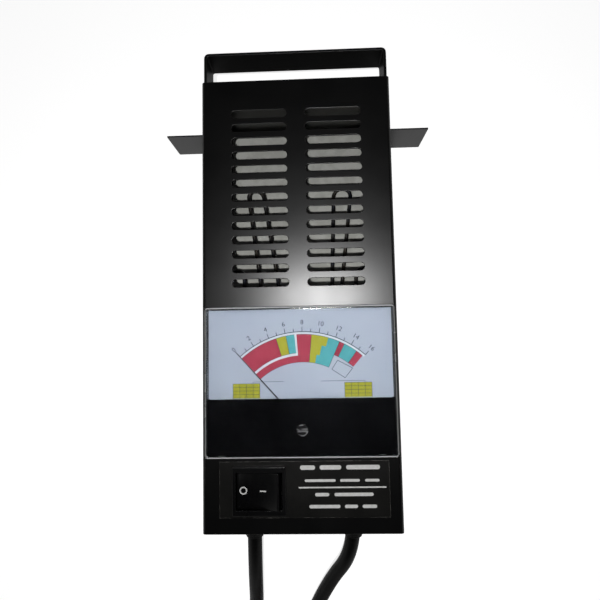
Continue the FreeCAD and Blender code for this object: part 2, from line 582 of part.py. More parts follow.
def add_slot(sketch, x, y, long, high):
    """A slot with round ends, bound by its centre, length and height."""
    half, radius = number_of(f"{long} / 2 - {high} / 2"), number_of(f"{high} / 2")
    cx, cy = number_of(x), number_of(y)
    quarter = math.pi / 2
    left = Part.Circle(Vector(cx - half, cy, 0), Vector(0, 0, 1), radius)
    right = Part.Circle(Vector(cx + half, cy, 0), Vector(0, 0, 1), radius)
    sketch.addGeometry(Part.ArcOfCircle(left, quarter, 3 * quarter))
    sketch.addGeometry(Part.LineSegment(Vector(cx - half, cy - radius, 0), Vector(cx + half, cy - radius, 0)))
    sketch.addGeometry(Part.ArcOfCircle(right, -quarter, quarter))
    sketch.addGeometry(Part.LineSegment(Vector(cx + half, cy + radius, 0), Vector(cx - half, cy + radius, 0)))
    for a, a_end, b, b_end in ((0, 2, 1, 1), (1, 2, 2, 1), (2, 2, 3, 1), (3, 2, 0, 1)):
        sketch.addConstraint(Sketcher.Constraint("Tangent", a, a_end, b, b_end))
    sketch.addConstraint(Sketcher.Constraint("Horizontal", 1))
    held = [
        (Sketcher.Constraint("Radius", 0, radius), f"{high} / 2"),
        (Sketcher.Constraint("DistanceX", -1, 1, 0, 3, cx - half), f"{x} - {long} / 2 + {high} / 2"),
        (Sketcher.Constraint("DistanceY", -1, 1, 0, 3, cy), y),
        (Sketcher.Constraint("DistanceX", -1, 1, 2, 3, cx + half), f"{x} + {long} / 2 - {high} / 2"),
    ]
    for constraint, text in held:
        sketch.setExpression(f"Constraints[{sketch.addConstraint(constraint)}]", formula(text))


def pad(body, sketch, length, symmetric=False):
    """Pad a sketch of a body."""
    feature = body.newObject("PartDesign::Pad", "pad")
    feature.Profile = sketch
    if symmetric:
        feature.SideType = "Symmetric"
    return bind(feature, Length=length)


def pocket(body, sketch, length, symmetric=False, reversed_way=False):
    """Cut a sketch out of a body, and stop where nothing was cut."""
    doc.recompute()
    before = body.Shape.Volume
    feature = body.newObject("PartDesign::Pocket", "pocket")
    feature.Profile = sketch
    if symmetric:
        feature.SideType = "Symmetric"
    feature.Reversed = reversed_way
    bind(feature, Length=length)
    doc.recompute()
    if body.Shape.Volume > before - TINY:
        raise ValueError(f"a pocket of {body.Label} cuts nothing")
    return feature


def plate(corners, low, high, role="XY_Plane"):
    """A flat body from an outline, between two levels along the plane's normal."""
    body = doc.addObject("PartDesign::Body", "plate")
    sketch = sketch_on(body, role, low)
    add_outline(sketch, corners)
    pad(body, sketch, f"({high}) - ({low})")
    return body


def profile(corners, width, role="XZ_Plane"):
    """A bent body from its section, padded both ways from the middle plane."""
    body = doc.addObject("PartDesign::Body", "profile")
    sketch = sketch_on(body, role)
    add_outline(sketch, corners)
    pad(body, sketch, width, symmetric=True)
    return body


def rectangle(x, y):
    """The corners of a rectangle from two pairs of formulas."""
    return [(x[0], y[0]), (x[1], y[0]), (x[1], y[1]), (x[0], y[1])]


def arc_between(start, heading, finish):
    """An edge from a point along a heading to another point: an arc, or a line."""
    chord = finish - start
    side = heading - chord * (heading.dot(chord) / chord.dot(chord))
    if side.Length < TINY / 10:
        return Part.LineSegment(start, finish).toShape()
    turn = math.acos(max(-1.0, min(1.0, heading.dot(chord) / chord.Length)))
    middle = (start + finish) * 0.5 + side.normalize() * (chord.Length / 2 * math.tan(turn / 2))
    return Part.Arc(start, middle, finish).toShape()


def biarc(start, heading, finish, leaving):
    """Two tangent arcs from a point and heading to another point and heading."""
    chord, both = finish - start, heading + leaving
    spare = 2 * (1 - heading.dot(leaving))
    if spare < 1e-9:
        reach = chord.dot(chord) / (2 * chord.dot(both)) * 2
    else:
        reach = (math.sqrt(chord.dot(both) ** 2 + spare * chord.dot(chord)) - chord.dot(both)) / spare
    joint = (start + finish + (heading - leaving) * reach) * 0.5
    first = arc_between(start, heading, joint)
    turned = first.tangentAt(first.LastParameter)
    return [first, arc_between(joint, turned, finish)]


def through(stations):
    """Unbroken biarc edges through points, each with its heading."""
    edges = []
    for (a, a_way), (b, b_way) in zip(stations, stations[1:]):
        edges += biarc(a, a_way, b, b_way)
    return edges


def tube(edges, radius):
    """A round tube along joined edges, checked against section times length."""
    wire = Part.Wire(edges)
    first = wire.OrderedEdges[0]
    ring = Part.Circle(first.valueAt(first.FirstParameter), first.tangentAt(first.FirstParameter), radius)
    shape = wire.makePipeShell([Part.Wire(ring.toShape())], True, False)
    share = shape.Volume / (math.pi * radius**2 * wire.Length)
    if not shape.isValid() or abs(share - 1) > 0.01:
        raise ValueError(f"a tube of {wire.Length:.1f} mm has {share:.3f} of its volume")
    return shape


def route(points, name):
    """Straight runs joined by tangent arcs through hand-picked points."""
    spots = [Vector(*point) for point in points]
    edges, last, radii = [], spots[0], []
    for before, corner, after in zip(spots, spots[1:], spots[2:]):
        come, go = corner - before, after - corner
        shorter = min(come.Length, go.Length)
        turn = come.getAngle(go)
        reach = RUN_SHARE * shorter
        radii.append(reach / math.tan(turn / 2))
        begin, end = corner - come.normalize() * reach, corner + go.normalize() * reach
        edges.append(Part.LineSegment(last, begin).toShape())
        edges.append(arc_between(begin, come, end))
        last = end
    edges.append(Part.LineSegment(last, spots[-1]).toShape())
    print(name, "radii", [round(radius, 1) for radius in radii])
    return edges


def solid_node(name, shape):
    """A finished piece whose shape is set here."""
    thing = doc.addObject("Part::Feature", name)
    thing.Shape = shape
    return node(thing, name)


def least_gap(edges, radius, skip):
    """The least gap of a tube to itself, on points, leaving out near neighbours along it."""
    step = radius / 2
    points, along_it, total = [], [], 0.0
    for edge in edges:
        count = max(2, int(edge.Length / step) + 1)
        for i in range(count):
            share = (edge.LastParameter - edge.FirstParameter) * i / count
            points.append(edge.valueAt(edge.FirstParameter + share))
            along_it.append(total + edge.Length * i / count)
        total += edge.Length
    best = math.inf
    for i, spot in enumerate(points):
        for j in range(i + 1, len(points)):
            if along_it[j] - along_it[i] > skip:
                best = min(best, spot.distanceToPoint(points[j]))
    return best - 2 * radius


def ring_route(centre, radius, start, finish, height):
    """Arcs round a centre from one angle to another, in degrees, at a height given by the angle."""
    steps = max(1, math.ceil(abs(finish - start) / 90))
    way = 1 if finish > start else -1

    def station(angle):
        turned = math.radians(angle)
        rise = (height(angle + 0.01) - height(angle - 0.01)) / math.radians(0.02) * way
        out = Vector(radius * math.cos(turned), radius * math.sin(turned), 0)
        heading = Vector(-out.y * way, out.x * way, rise)
        return out + Vector(*centre, height(angle)), heading.normalize()

    return through([station(start + (finish - start) * i / steps) for i in range(steps + 1)])


def bend_corners(body, axis, across, level, radius):
    """Round a body's two edges along an axis that lie at a distance from the middle and at a level."""
    doc.recompute()
    spot = (number_of(across), number_of(level))
    other = 1 if axis.z else 2
    names = [f"Edge{i}" for i, edge in enumerate(body.Tip.Shape.Edges, 1)
             if along(edge, axis) and abs(abs(edge.CenterOfMass.x) - spot[0]) < CLOSE
             and abs(edge.CenterOfMass[other] - spot[1]) < CLOSE]
    fillet = body.newObject("PartDesign::Fillet", "bend")
    fillet.Base = (body.Group[-2], names)
    bind(fillet, Radius=radius)
    doc.recompute()


def switch_cut_out():
    """The corners of the opening that the switch's box goes through."""
    return rectangle(around(SWITCH_X, "(switch_width / 2 + switch_play)"),
                     around(SWITCH_Y, "(switch_height / 2 + switch_play)"))


def screw_spot(y):
    """Where a case screw sits on a side wall, at the +Y or the -Y end."""
    return f"{y} * ({END} - screw_margin)", "screw_level"


def rivet_spot(i):
    """Where a handle rivet sits on a side wall."""
    return f"({END} - rivet_first - {i} * rivet_apart)", HANDLE_MID


def front_cover():
    """The bent front channel with its vents, window, cut-out and side tabs."""
    body = doc.addObject("PartDesign::Body", "bent_sheet")
    section = sketch_on(body, "XZ_Plane")
    add_outline(section, [
        (f"-{SIDE}", "0"), (f"-{SIDE}", "case_depth"), (SIDE, "case_depth"), (SIDE, "0"),
        (SIDE_IN, "0"), (SIDE_IN, SHEET_BACK), (f"-{SIDE_IN}", SHEET_BACK), (f"-{SIDE_IN}", "0"),
    ])
    pad(body, section, "case_length", symmetric=True)
    bend_corners(body, Y_WAY, SIDE, "case_depth", "case_bend")
    bend_corners(body, Y_WAY, SIDE_IN, SHEET_BACK, "case_bend - case_sheet")
    window = sketch_on(body, "XY_Plane", "case_depth")
    add_outline(window, rectangle(
        around("0", f"({COVER_HALF} + window_play)"),
        (f"{COVER_Y0} - window_play", f"{COVER_Y1} + window_play")))
    pocket(body, window, "case_bend")
    hole = sketch_on(body, "XY_Plane", "case_depth")
    add_outline(hole, switch_cut_out())
    pocket(body, hole, "case_bend")
    lance = sketch_on(body, "YZ_Plane")
    add_outline(lance, rectangle(
        (f"{TAB_Y} - tab_reach", TAB_Y),
        ("case_depth - tab_setback - tab_width - tab_relief", "case_depth - tab_setback + tab_relief")))
    pocket(body, lance, "case_width * 2", symmetric=True)
    tabs = sketch_on(body, "XZ_Plane", f"-({TAB_Y})")
    for way in BOTH_WAYS:
        add_outline(tabs, rectangle(
            (f"{way} * ({SIDE_IN} + case_sheet / 2)", f"{way} * ({SIDE} + tab_reach)"),
            ("case_depth - tab_setback - tab_width", "case_depth - tab_setback")))
    pad(body, tabs, "case_sheet")
    first = sketch_on(body, "XY_Plane", "case_depth")
    add_slot(first, "-slot_columns_apart / 2", f"{END} - slot_margin", "slot_width", "slot_height")
    slot = pocket(body, first, "case_bend")
    rows = body.newObject("PartDesign::MultiTransform", "slots")
    rows.Originals = [slot]
    down = body.newObject("PartDesign::LinearPattern", "rows")
    down.Direction = (plane_of(body, "Y_Axis"), [""])
    down.Reversed = True
    down.Mode = "Spacing"
    bind(down, Offset=SLOT_PITCH, Occurrences="slot_rows")
    over = body.newObject("PartDesign::LinearPattern", "columns")
    over.Direction = (plane_of(body, "X_Axis"), [""])
    over.Mode = "Spacing"
    over.Occurrences = 2
    bind(over, Offset="slot_columns_apart")
    rows.Transformations = [down, over]
    body.Tip = rows
    doc.recompute()
    drills = []
    for way in BOTH_WAYS:
        wall = past(*on_side(way, SIDE_IN, SIDE))
        drills += [rod("X", screw_spot(y), *wall, "screw_radius") for y in BOTH_WAYS]
        drills += [rod("X", rivet_spot(i), *wall, "rivet_hole") for i in RIVETS]
    node(cut(body, *drills), "front_cover")


def rear_chassis():
    """Back wall, two end walls and two screw flanges."""
    end_top = f"({SHEET_BACK} - fit_play)"
    across = around("0", CHASSIS_HALF)
    walls = [block(across, around("0", END), ("0", "case_sheet"))]
    level = number_of(end_top)
    for way in BOTH_WAYS:
        wall = block(across, on_side(way, f"({END} - case_sheet)", END), ("0", end_top))
        walls.append(round_edges(wall, "case_bend - case_sheet", lambda edge: (
            along(edge, Y_WAY) and abs(edge.CenterOfMass.z - level) < CLOSE)))
        walls.append(block(on_side(way, f"({CHASSIS_HALF} - case_sheet)", CHASSIS_HALF),
                           around("0", f"({END} - flange_margin)"), ("0", "flange_height")))
    outer_wall = on_side("-1", f"({END} - case_sheet)", END)
    tools = [rod("Y", (f"lead_{side}_x", "lead_level"), *past(*outer_wall), "grommet_hole")
             for side in ("left", "right")]
    for way in BOTH_WAYS:
        tools.append(block(
            past(*on_side(way, f"({HANDLE_OUT} - handle_thick - handle_play)", CHASSIS_HALF)),
            past(f"({END} - case_sheet)", END), (f"({HANDLE_LOW} - fit_play)", f"({end_top} + overcut)")))
        tools.append(rod("X", screw_spot(way), *past(*across), "screw_radius"))
    node(cut(fuse(*walls), *tools), "rear_chassis")


def handle():
    """The strap handle and the rivets through its legs."""
    top, foot = f"({END} + handle_rise)", f"({END} - handle_leg)"
    inner, under = f"({HANDLE_OUT} - handle_thick)", f"({END} + handle_rise - handle_thick)"
    strip = plate([
        (f"-{HANDLE_OUT}", foot), (f"-{HANDLE_OUT}", top), (HANDLE_OUT, top), (HANDLE_OUT, foot),
        (inner, foot), (inner, under), (f"-{inner}", under), (f"-{inner}", foot),
    ], HANDLE_LOW, HANDLE_HIGH)
    bend_corners(strip, Z_WAY, HANDLE_OUT, top, "handle_bend")
    bend_corners(strip, Z_WAY, inner, under, "handle_bend - handle_thick")
    drills, rivets = [], []
    for way in BOTH_WAYS:
        shank = on_side(way, inner, SIDE)
        head = on_side(way, SIDE, f"({SIDE} + rivet_dome)")
        tail = on_side(way, f"({inner} - rivet_dome / 2)", inner)
        dome = ("rivet_head", "rivet_head / 2") if way == "1" else ("rivet_head / 2", "rivet_head")
        for i in RIVETS:
            drills.append(rod("X", rivet_spot(i), *past(*shank), "rivet_hole"))
            rivets.append(fuse(
                rod("X", rivet_spot(i), *shank, "rivet_hole"),
                rod("X", rivet_spot(i), *head, *dome),
                rod("X", rivet_spot(i), *tail, "rivet_tail")))
    node(cut(strip, *drills), "handle_strap")
    node(fuse(*rivets), "handle_rivets")


def case_screws():
    """Four self-tapping screws through the sides into the chassis."""
    screws = []
    face = f"({SIDE} + screw_head_high)"
    for way in BOTH_WAYS:
        shank = on_side(way, f"({SIDE} - screw_length)", SIDE)
        head = on_side(way, SIDE, face)
        recess = on_side(way, f"({face} - screw_head_high / 2)", f"({face} + overcut)")
        for y in BOTH_WAYS:
            spot = screw_spot(y)
            cross = [block(recess, around(spot[0], a), around(spot[1], b))
                     for a, b in (("cross_half", "cross_reach"), ("cross_reach", "cross_half"))]
            screws.append(cut(fuse(
                rod("X", spot, *shank, "screw_radius"), rod("X", spot, *head, "screw_head")), *cross))
    node(fuse(*screws), "case_screws")


def label():
    """The thin plate round the switch."""
    body = plate(rectangle((f"(label_left - {SIDE})", f"({SIDE} - label_right)"), (LABEL_Y0, LABEL_Y1)),
                 "case_depth", BEZEL_BACK)
    hole = sketch_on(body, "XY_Plane", BEZEL_BACK)
    add_outline(hole, switch_cut_out())
    pocket(body, hole, "label_thick * 2")
    node(body, "label_plate")


def meter_cover():
    """The clear moulded cover."""
    outer = block(around("0", COVER_HALF), (COVER_Y0, COVER_Y1), (DIAL_BACK, COVER_FRONT))
    front = number_of(COVER_FRONT)
    soft = round_edges(outer, "cover_round", lambda edge: (
        abs(edge.CenterOfMass.z - front) < CLOSE or along(edge, Z_WAY)))
    hollow = block(
        around("0", f"({COVER_HALF} - cover_wall)"),
        (f"({COVER_Y0} + cover_wall)", f"({COVER_Y1} - cover_wall)"),
        (f"({DIAL_BACK} - overcut)", COVER_IN))
    bore = rod("Z", AT_ADJUSTER, *past(COVER_IN, COVER_FRONT), "adjuster_shaft + adjuster_run")
    node(cut(soft, hollow, bore), "meter_cover")


def meter_mask():
    """The gloss mask over the movement."""
    half, low = f"({COVER_HALF} - cover_wall - mask_play)", f"({COVER_Y0} + cover_wall + mask_play)"
    shell = block(around("0", half), (low, MASK_Y1), (DIAL_FRONT, MASK_FRONT))
    edge_y, edge_z = number_of(MASK_Y1), number_of(MASK_FRONT)
    soft = round_edges(shell, "mask_round", lambda edge: (
        abs(edge.CenterOfMass.y - edge_y) < CLOSE and abs(edge.CenterOfMass.z - edge_z) < CLOSE))
    inside = block(around("0", f"({half} - mask_wall)"), (f"({low} + mask_wall)", f"({MASK_Y1} + overcut)"),
                   (f"({DIAL_FRONT} - overcut)", MASK_BACK))
    hole = rod("Z", AT_ADJUSTER, *past(MASK_BACK, MASK_FRONT), "adjuster_shaft + stack_gap")
    node(cut(soft, inside, hole), "meter_mask")


def dial_plate():
    """The dial, cut out where the movement comes through."""
    dial = plate(rectangle(around("0", DIAL_HALF), (DIAL_Y0, DIAL_Y1)), DIAL_BACK, DIAL_FRONT)
    gap = sketch_on(dial, "XY_Plane", DIAL_FRONT)
    add_outline(gap, rectangle(
        around(PIVOT_X, "dial_gap_half"), (f"{DIAL_Y0} + mask_wall", f"{MASK_Y1} - mask_cover")))
    pocket(dial, gap, "dial_thick * 2")
    node(dial, "dial_plate")


def meter_housing():
    """The moulded housing, its weld studs and nuts, and the terminal studs."""
    floor = f"({HOUSING_BACK} + housing_wall)"
    lug_back = f"({DIAL_BACK} - housing_wall)"
    box = block(around("0", HOUSING_HALF), (HOUSING_Y0, HOUSING_Y1), (HOUSING_BACK, DIAL_BACK))
    room = block(
        around("0", f"({HOUSING_HALF} - housing_wall)"),
        (f"({HOUSING_Y0} + housing_wall)", f"({HOUSING_Y1} - housing_wall)"),
        (floor, f"({DIAL_BACK} + overcut)"))
    lugs, holes, fixings = [], [], []
    nut_low = f"({lug_back} - fixing_nut_high)"
    upper = (HOUSING_Y1, f"({HOUSING_Y1} + lug_reach)", f"({HOUSING_Y1} + lug_reach - lug_edge)")
    foot = f"({HOUSING_Y0} - lug_bottom_reach)"
    lower = (foot, HOUSING_Y0, f"({foot} + lug_edge)")
    for way in BOTH_WAYS:
        x = f"({way} * ({COVER_HALF} - lug_inset))"
        for low, high, y in (upper, lower):
            lugs.append(block(around(x, "lug_half"), (low, high), (lug_back, DIAL_BACK)))
            holes.append(rod("Z", (x, y), *past(lug_back, DIAL_BACK), "fixing_radius"))
            fixings.append(fuse(
                rod("Z", (x, y), f"({nut_low} - fixing_radius)", SHEET_BACK, "fixing_radius"),
                rod("Z", (x, y), DIAL_BACK, SHEET_BACK, "fixing_sleeve"),
                nut((x, y), nut_low, lug_back, "fixing_nut")))
    bosses = [rod("Z", (PIVOT_X, f"({PIVOT_Y} + {way} * bridge_post_out)"), floor, CORE_BACK, "boss_radius")
              for way in BOTH_WAYS]
    studs = []
    for way in BOTH_WAYS:
        spot = (f"({way} * stud_apart)", STUD_Y)
        holes.append(rod("Z", spot, *past(HOUSING_BACK, floor), "stud_radius"))
        studs.append(fuse(
            rod("Z", spot, f"({HOUSING_BACK} - stud_out)", f"({floor} + stud_in)", "stud_radius"),
            nut(spot, f"({HOUSING_BACK} - stud_nut_high)", HOUSING_BACK, "stud_nut"),
            nut(spot, floor, f"({floor} + stud_nut_high)", "stud_nut")))
    node(cut(fuse(cut(box, room), *lugs, *bosses), *holes), "meter_housing")
    node(fuse(*fixings), "meter_fixings")
    node(fuse(*studs), "meter_studs")


def spiral(level):
    """A hairspring: one unbroken spiral tube of quarter-turn biarcs."""
    inner, pitch = SIZES["spring_inner"], SIZES["spring_pitch"]
    wire = SIZES["spring_wire"]
    x, y = number_of(PIVOT_X), number_of(PIVOT_Y)
    growth = pitch / (2 * math.pi)

    def station(i):
        angle = math.pi / 2 * i
        radius = inner + pitch * i / 4
        out, round_it = (math.cos(angle), math.sin(angle)), (-math.sin(angle), math.cos(angle))
        spot = Vector(x + radius * out[0], y + radius * out[1], level)
        heading = Vector(growth * out[0] + radius * round_it[0], growth * out[1] + radius * round_it[1], 0)
        return spot, heading.normalize()

    edges = through([station(i) for i in range(4 * int(SIZES["spring_turns"]) + 1)])
    print("hairspring gap", round(least_gap(edges, wire, math.pi * inner), 2))
    return tube(edges, wire)


def about_pivot(thing, angle):
    """Turn a finished piece about the needle's pivot, from its drawn place at zero degrees."""
    thing.Placement = Placement(Vector(), Rotation(Z_WAY, number_of(angle)))
    return place(thing, PIVOT_X, PIVOT_Y)


def magnet_and_bridges():
    """Yoke, core magnet, the keys between them and the two bridges."""
    node(cut(rod("Z", AT_PIVOT, CORE_BACK, CORE_FRONT, "yoke_outer"),
             rod("Z", AT_PIVOT, *past(CORE_BACK, CORE_FRONT), "yoke_inner")), "meter_yoke")
    node(rod("Z", AT_PIVOT, CORE_BACK, CORE_FRONT, "core_radius"), "meter_magnet")
    air_gap = cut(rod("Z", AT_PIVOT, CORE_BACK, CORE_FRONT, "yoke_inner"),
                  rod("Z", AT_PIVOT, *past(CORE_BACK, CORE_FRONT), "core_radius"))
    strip = block(
        around(PIVOT_X, "key_half"), around(PIVOT_Y, "(yoke_inner + overcut)"), (CORE_BACK, CORE_FRONT))
    node(common(air_gap, strip), "magnet_keys")
    posts = [(f"({PIVOT_X} + {way} * bridge_post_out)", PIVOT_Y) for way in BOTH_WAYS]
    bar = (around(PIVOT_X, "bridge_half"), around(PIVOT_Y, "bridge_wide / 2"))
    node(cut(fuse(
        block(*bar, (BRIDGE_BACK, BRIDGE_FRONT)),
        *[rod("Z", post, CORE_FRONT, BRIDGE_BACK, "bridge_post") for post in posts],
        rod("Z", AT_PIVOT, LEVER_BACK, BRIDGE_BACK, "jewel_boss")),
        rod("Z", AT_PIVOT, f"({LEVER_BACK} - overcut)", BRIDGE_BACK, "staff_radius + staff_run")),
        "front_bridge")
    rear_boss = f"({REAR_BRIDGE_FRONT} + lever_gap)"
    node(cut(fuse(
        block(*bar, (REAR_BRIDGE_BACK, REAR_BRIDGE_FRONT)),
        *[rod("Z", post, REAR_BRIDGE_FRONT, CORE_BACK, "bridge_post") for post in posts],
        rod("Z", AT_PIVOT, REAR_BRIDGE_FRONT, rear_boss, "jewel_boss")),
        rod("Z", AT_PIVOT, STAFF_SEAT, f"({rear_boss} + overcut)", "staff_radius + staff_run")),
        "rear_bridge")


def moving_coil():
    """The coil's frame with a half staff at each end."""
    frame = cut(
        block(around("0", "coil_outer"), around("0", "coil_half"), (COIL_BACK, COIL_FRONT)),
        block(around("0", "coil_inner"), around("0", "(coil_half + overcut)"),
              (f"({COIL_BACK} + coil_bar)", f"({COIL_FRONT} - coil_bar)")))
    staffs = [
        rod("Z", MIDDLE, COIL_FRONT, f"({BRIDGE_BACK} - staff_end)", "staff_radius"),
        rod("Z", MIDDLE, f"({STAFF_SEAT} + staff_end)", COIL_BACK, "staff_radius")]
    node(about_pivot(fuse(frame, *staffs), f"{NEEDLE_REST} - 90"), "moving_coil")


def needle():
    """The pointer with its ramp up to the dial, hub and balance tail."""
    low = around(f"({HUB_FRONT} - hub_thick / 2)", "needle_thick / 2")
    high = (f"({DIAL_FRONT} + needle_lift)", f"({DIAL_FRONT} + needle_lift + needle_thick)")
    side = profile([
        ("-needle_tail", low[0]), ("needle_ramp_start", low[0]), ("needle_ramp_end", high[0]),
        ("needle_length", high[0]), ("needle_length", high[1]), ("needle_ramp_end", high[1]),
        ("needle_ramp_start", low[1]), ("-needle_tail", low[1]),
    ], "needle_wide * 2")
    plan = plate([
        ("-needle_tail", "-needle_wide / 2"), ("needle_ramp_end", "-needle_wide / 2"),
        ("needle_length", "-needle_tip_wide / 2"), ("needle_length", "needle_tip_wide / 2"),
        ("needle_ramp_end", "needle_wide / 2"), ("-needle_tail", "needle_wide / 2"),
    ], HUB_BACK, f"({high[1]} + overcut)")
    pointer = cut(fuse(
        common(side, plan),
        rod("Z", MIDDLE, HUB_BACK, HUB_FRONT, "hub_radius"),
        rod("Z", ("-needle_tail", "0"), *low, "tail_weight")),
        rod("Z", MIDDLE, *past(HUB_BACK, HUB_FRONT), "staff_radius"))
    node(about_pivot(pointer, NEEDLE_REST), "needle")


def zero_setting():
    """The zero lever with its fork, and the slotted adjuster with its crank."""
    fork_half = "(crank_pin + fork_play)"
    pin_x = f"({ADJUST_X} - {PIVOT_X})"
    anchor = "(spring_inner + spring_pitch * spring_turns + spring_wire + stack_gap + crank_pin)"
    level = (LEVER_BACK, LEVER_FRONT)
    lever = cut(fuse(
        rod("Z", MIDDLE, *level, "lever_ring"),
        block(around(pin_x, f"({fork_half} + crank_thick)"), ("jewel_boss + lever_run", "lever_fork"), level),
        block(around("0", "crank_pin"), (f"-{anchor}", "-jewel_boss - lever_run"), level),
        rod("Z", ("0", f"-{anchor}"), SPRING_LEVEL, LEVER_FRONT, "crank_pin")),
        rod("Z", MIDDLE, *past(*level), "jewel_boss + lever_run"),
        block(around(pin_x, fork_half), ("lever_ring", "lever_fork + overcut"), past(*level)))
    node(about_pivot(lever, "0"), "zero_lever")
    seat, face = f"({COVER_FRONT} + adjuster_run)", f"({COVER_FRONT} + adjuster_run + adjuster_head_high)"
    node(cut(fuse(
        rod("Z", AT_ADJUSTER, seat, face, "adjuster_head", "adjuster_face"),
        rod("Z", AT_ADJUSTER, CRANK_BACK, seat, "adjuster_shaft"),
        block(around(ADJUST_X, "crank_half"), (ADJUST_Y, f"({ADJUST_Y} + crank_length + crank_pin)"),
              (CRANK_BACK, CRANK_FRONT)),
        rod("Z", (ADJUST_X, f"({ADJUST_Y} + crank_length)"), LEVER_BACK, CRANK_BACK, "crank_pin")),
        block(around(ADJUST_X, "(adjuster_head + overcut)"), around(ADJUST_Y, "adjuster_slot / 2"),
              (f"({face} - adjuster_slot_deep)", f"({face} + overcut)"))), "zero_adjuster")


def meter():
    """The panel meter."""
    meter_cover()
    meter_mask()
    dial_plate()
    meter_housing()
    magnet_and_bridges()
    moving_coil()
    needle()
    solid_node("hairspring_front", spiral(number_of(SPRING_LEVEL)))
    solid_node("hairspring_rear", spiral(number_of(SPRING_REAR)))
    zero_setting()


def helix(radius, pitch, turns, wire, start, across=0.0, from_angle=0.0):
    """A spring's coil along Z as edges: unbroken quarter-turn biarcs."""
    def station(i):
        angle = math.radians(from_angle) + math.pi / 2 * i
        out = Vector(radius * math.cos(angle), radius * math.sin(angle), 0)
        heading = Vector(-out.y, out.x, pitch / (2 * math.pi))
        return out + Vector(across, 0, start + pitch * i / 4), heading.normalize()

    edges = through([station(i) for i in range(int(round(4 * turns)) + 1)])
    print("coil gap", round(least_gap(edges, wire, math.pi * radius), 2))
    return edges


def at_switch(x, y):
    """A pair of pairs across the switch, from its middle: two places along X, and a half width along Y."""
    return tuple(f"({SWITCH_X} + {place_x})" for place_x in x), around(SWITCH_Y, y)


def switch():
    """The rocker switch that springs back."""
    front, floor = f"({BEZEL_BACK} + bezel_thick)", f"({SWITCH_BACK} + switch_floor)"
    level = number_of(front)
    bezel = round_edges(
        block(*at_switch(around("0", "bezel_width / 2"), "bezel_height / 2"), (BEZEL_BACK, front)),
        "bezel_round",
        lambda edge: abs(edge.CenterOfMass.z - level) < CLOSE or along(edge, Z_WAY))
    box = block(*at_switch(around("0", "switch_width / 2"), "switch_height / 2"), (SWITCH_BACK, BEZEL_BACK))
    room = block(*at_switch(around("0", "opening_width / 2"), "opening_height / 2"),
                 (floor, f"({front} + overcut)"))
    slots = [block(*at_switch(around(spot, "blade_thick / 2"), "blade_wide / 2"), past(SWITCH_BACK, floor))
             for spot in BLADES.values()]
    stop = block(*at_switch(("(contact_half - 2 * contact_pad_high)", "contact_half"), "contact_wide / 2"),
                 (floor, f"({CONTACT_Z} - stop_drop)"))
    pin = ("Y", (SWITCH_X, ROCKER_Z), *around(SWITCH_Y, "(opening_height / 2 + pin_seat)"), "pin_radius")
    node(cut(fuse(cut(fuse(bezel, box), room), stop), rod(*pin), *slots), "switch_body")
    node(rod(*pin), "rocker_pin")

    dish = "((rocker_width / 2 * rocker_width / 2 + rocker_dish * rocker_dish) / (2 * rocker_dish))"
    body = block(
        around("0", "rocker_width / 2"), around("0", "rocker_height / 2"), ("-rocker_below", "rocker_rise"))
    through_y = around("0", "(rocker_height / 2 + overcut)")
    hollow = rod("Y", ("0", f"(rocker_rise - rocker_dish + {dish})"), *through_y, dish)
    stem = block(around("0", "stem_half"), around("0", "stem_half"), ("-rocker_stem", "0"))
    key = cut(fuse(cut(body, hollow), stem),
              rod("Y", MIDDLE, *through_y, "pin_radius + pin_run"),
              rod("Z", MIDDLE, "(-rocker_stem - overcut)", "-plunger_bore", "plunger_radius + plunger_run"))
    tip = "(plunger_radius - plunger_reach)"
    plunger = fuse(rod("Z", MIDDLE, tip, "-plunger_back", "plunger_radius"),
                   ball("0", "0", tip, "plunger_radius"))
    wire, turns = SIZES["plunger_wire"], int(SIZES["plunger_turns"])
    low = number_of("-plunger_back + plunger_wire + fit_play")
    high = number_of("-plunger_bore - plunger_wire - fit_play")
    spring = doc.addObject("Part::Feature", "plunger_spring")
    spring.Shape = tube(helix(SIZES["plunger_coil"], (high - low) / turns, turns, wire, low), wire)
    for thing, name in ((key, "rocker"), (plunger, "rocker_plunger"), (spring, "plunger_spring")):
        thing.Placement = Placement(Vector(), Rotation(Y_WAY, -number_of("rocker_tilt")))
        node(place(thing, SWITCH_X, SWITCH_Y, ROCKER_Z), name)


def switch_contacts():
    """The tilting contact and the two terminals that it joins."""
    floor, contact_y = f"({SWITCH_BACK} + switch_floor)", "contact_wide / 2"
    lever = fuse(
        block(around("0", "contact_half"), around("0", contact_y), ("0", "contact_thick")),
        rod("Y", MIDDLE, *around("0", contact_y), "contact_bead"),
        rod("Z", ("-contact_pad_out", "0"), "-contact_pad_high", "0", "contact_pad"))
    lever.Placement = Placement(Vector(), Rotation(Y_WAY, number_of("contact_tilt")))
    node(place(lever, SWITCH_X, SWITCH_Y, CONTACT_Z), "contact_lever")
    saddle = cut(
        block(*at_switch(around("0", "contact_pad"), contact_y),
              (floor, f"({CONTACT_Z} - contact_bead / 2)")),
        rod("Y", (SWITCH_X, CONTACT_Z), *around(SWITCH_Y, "contact_wide"), "contact_bead + bead_run"))
    drop = "(contact_pad_out * sin(contact_tilt * 1 deg) + contact_pad_high + contact_close)"
    seat = block(*at_switch(around("-contact_pad_out", "contact_pad"), contact_y),
                 (floor, f"({CONTACT_Z} - {drop})"))
    tongues = {name: block(*at_switch(around(spot, "blade_thick / 2"), "blade_wide / 2"), (BLADE_LOW, floor))
               for name, spot in BLADES.items()}
    node(fuse(fuse(saddle, tongues["centre"]), fuse(seat, tongues["load"])), "switch_terminals")


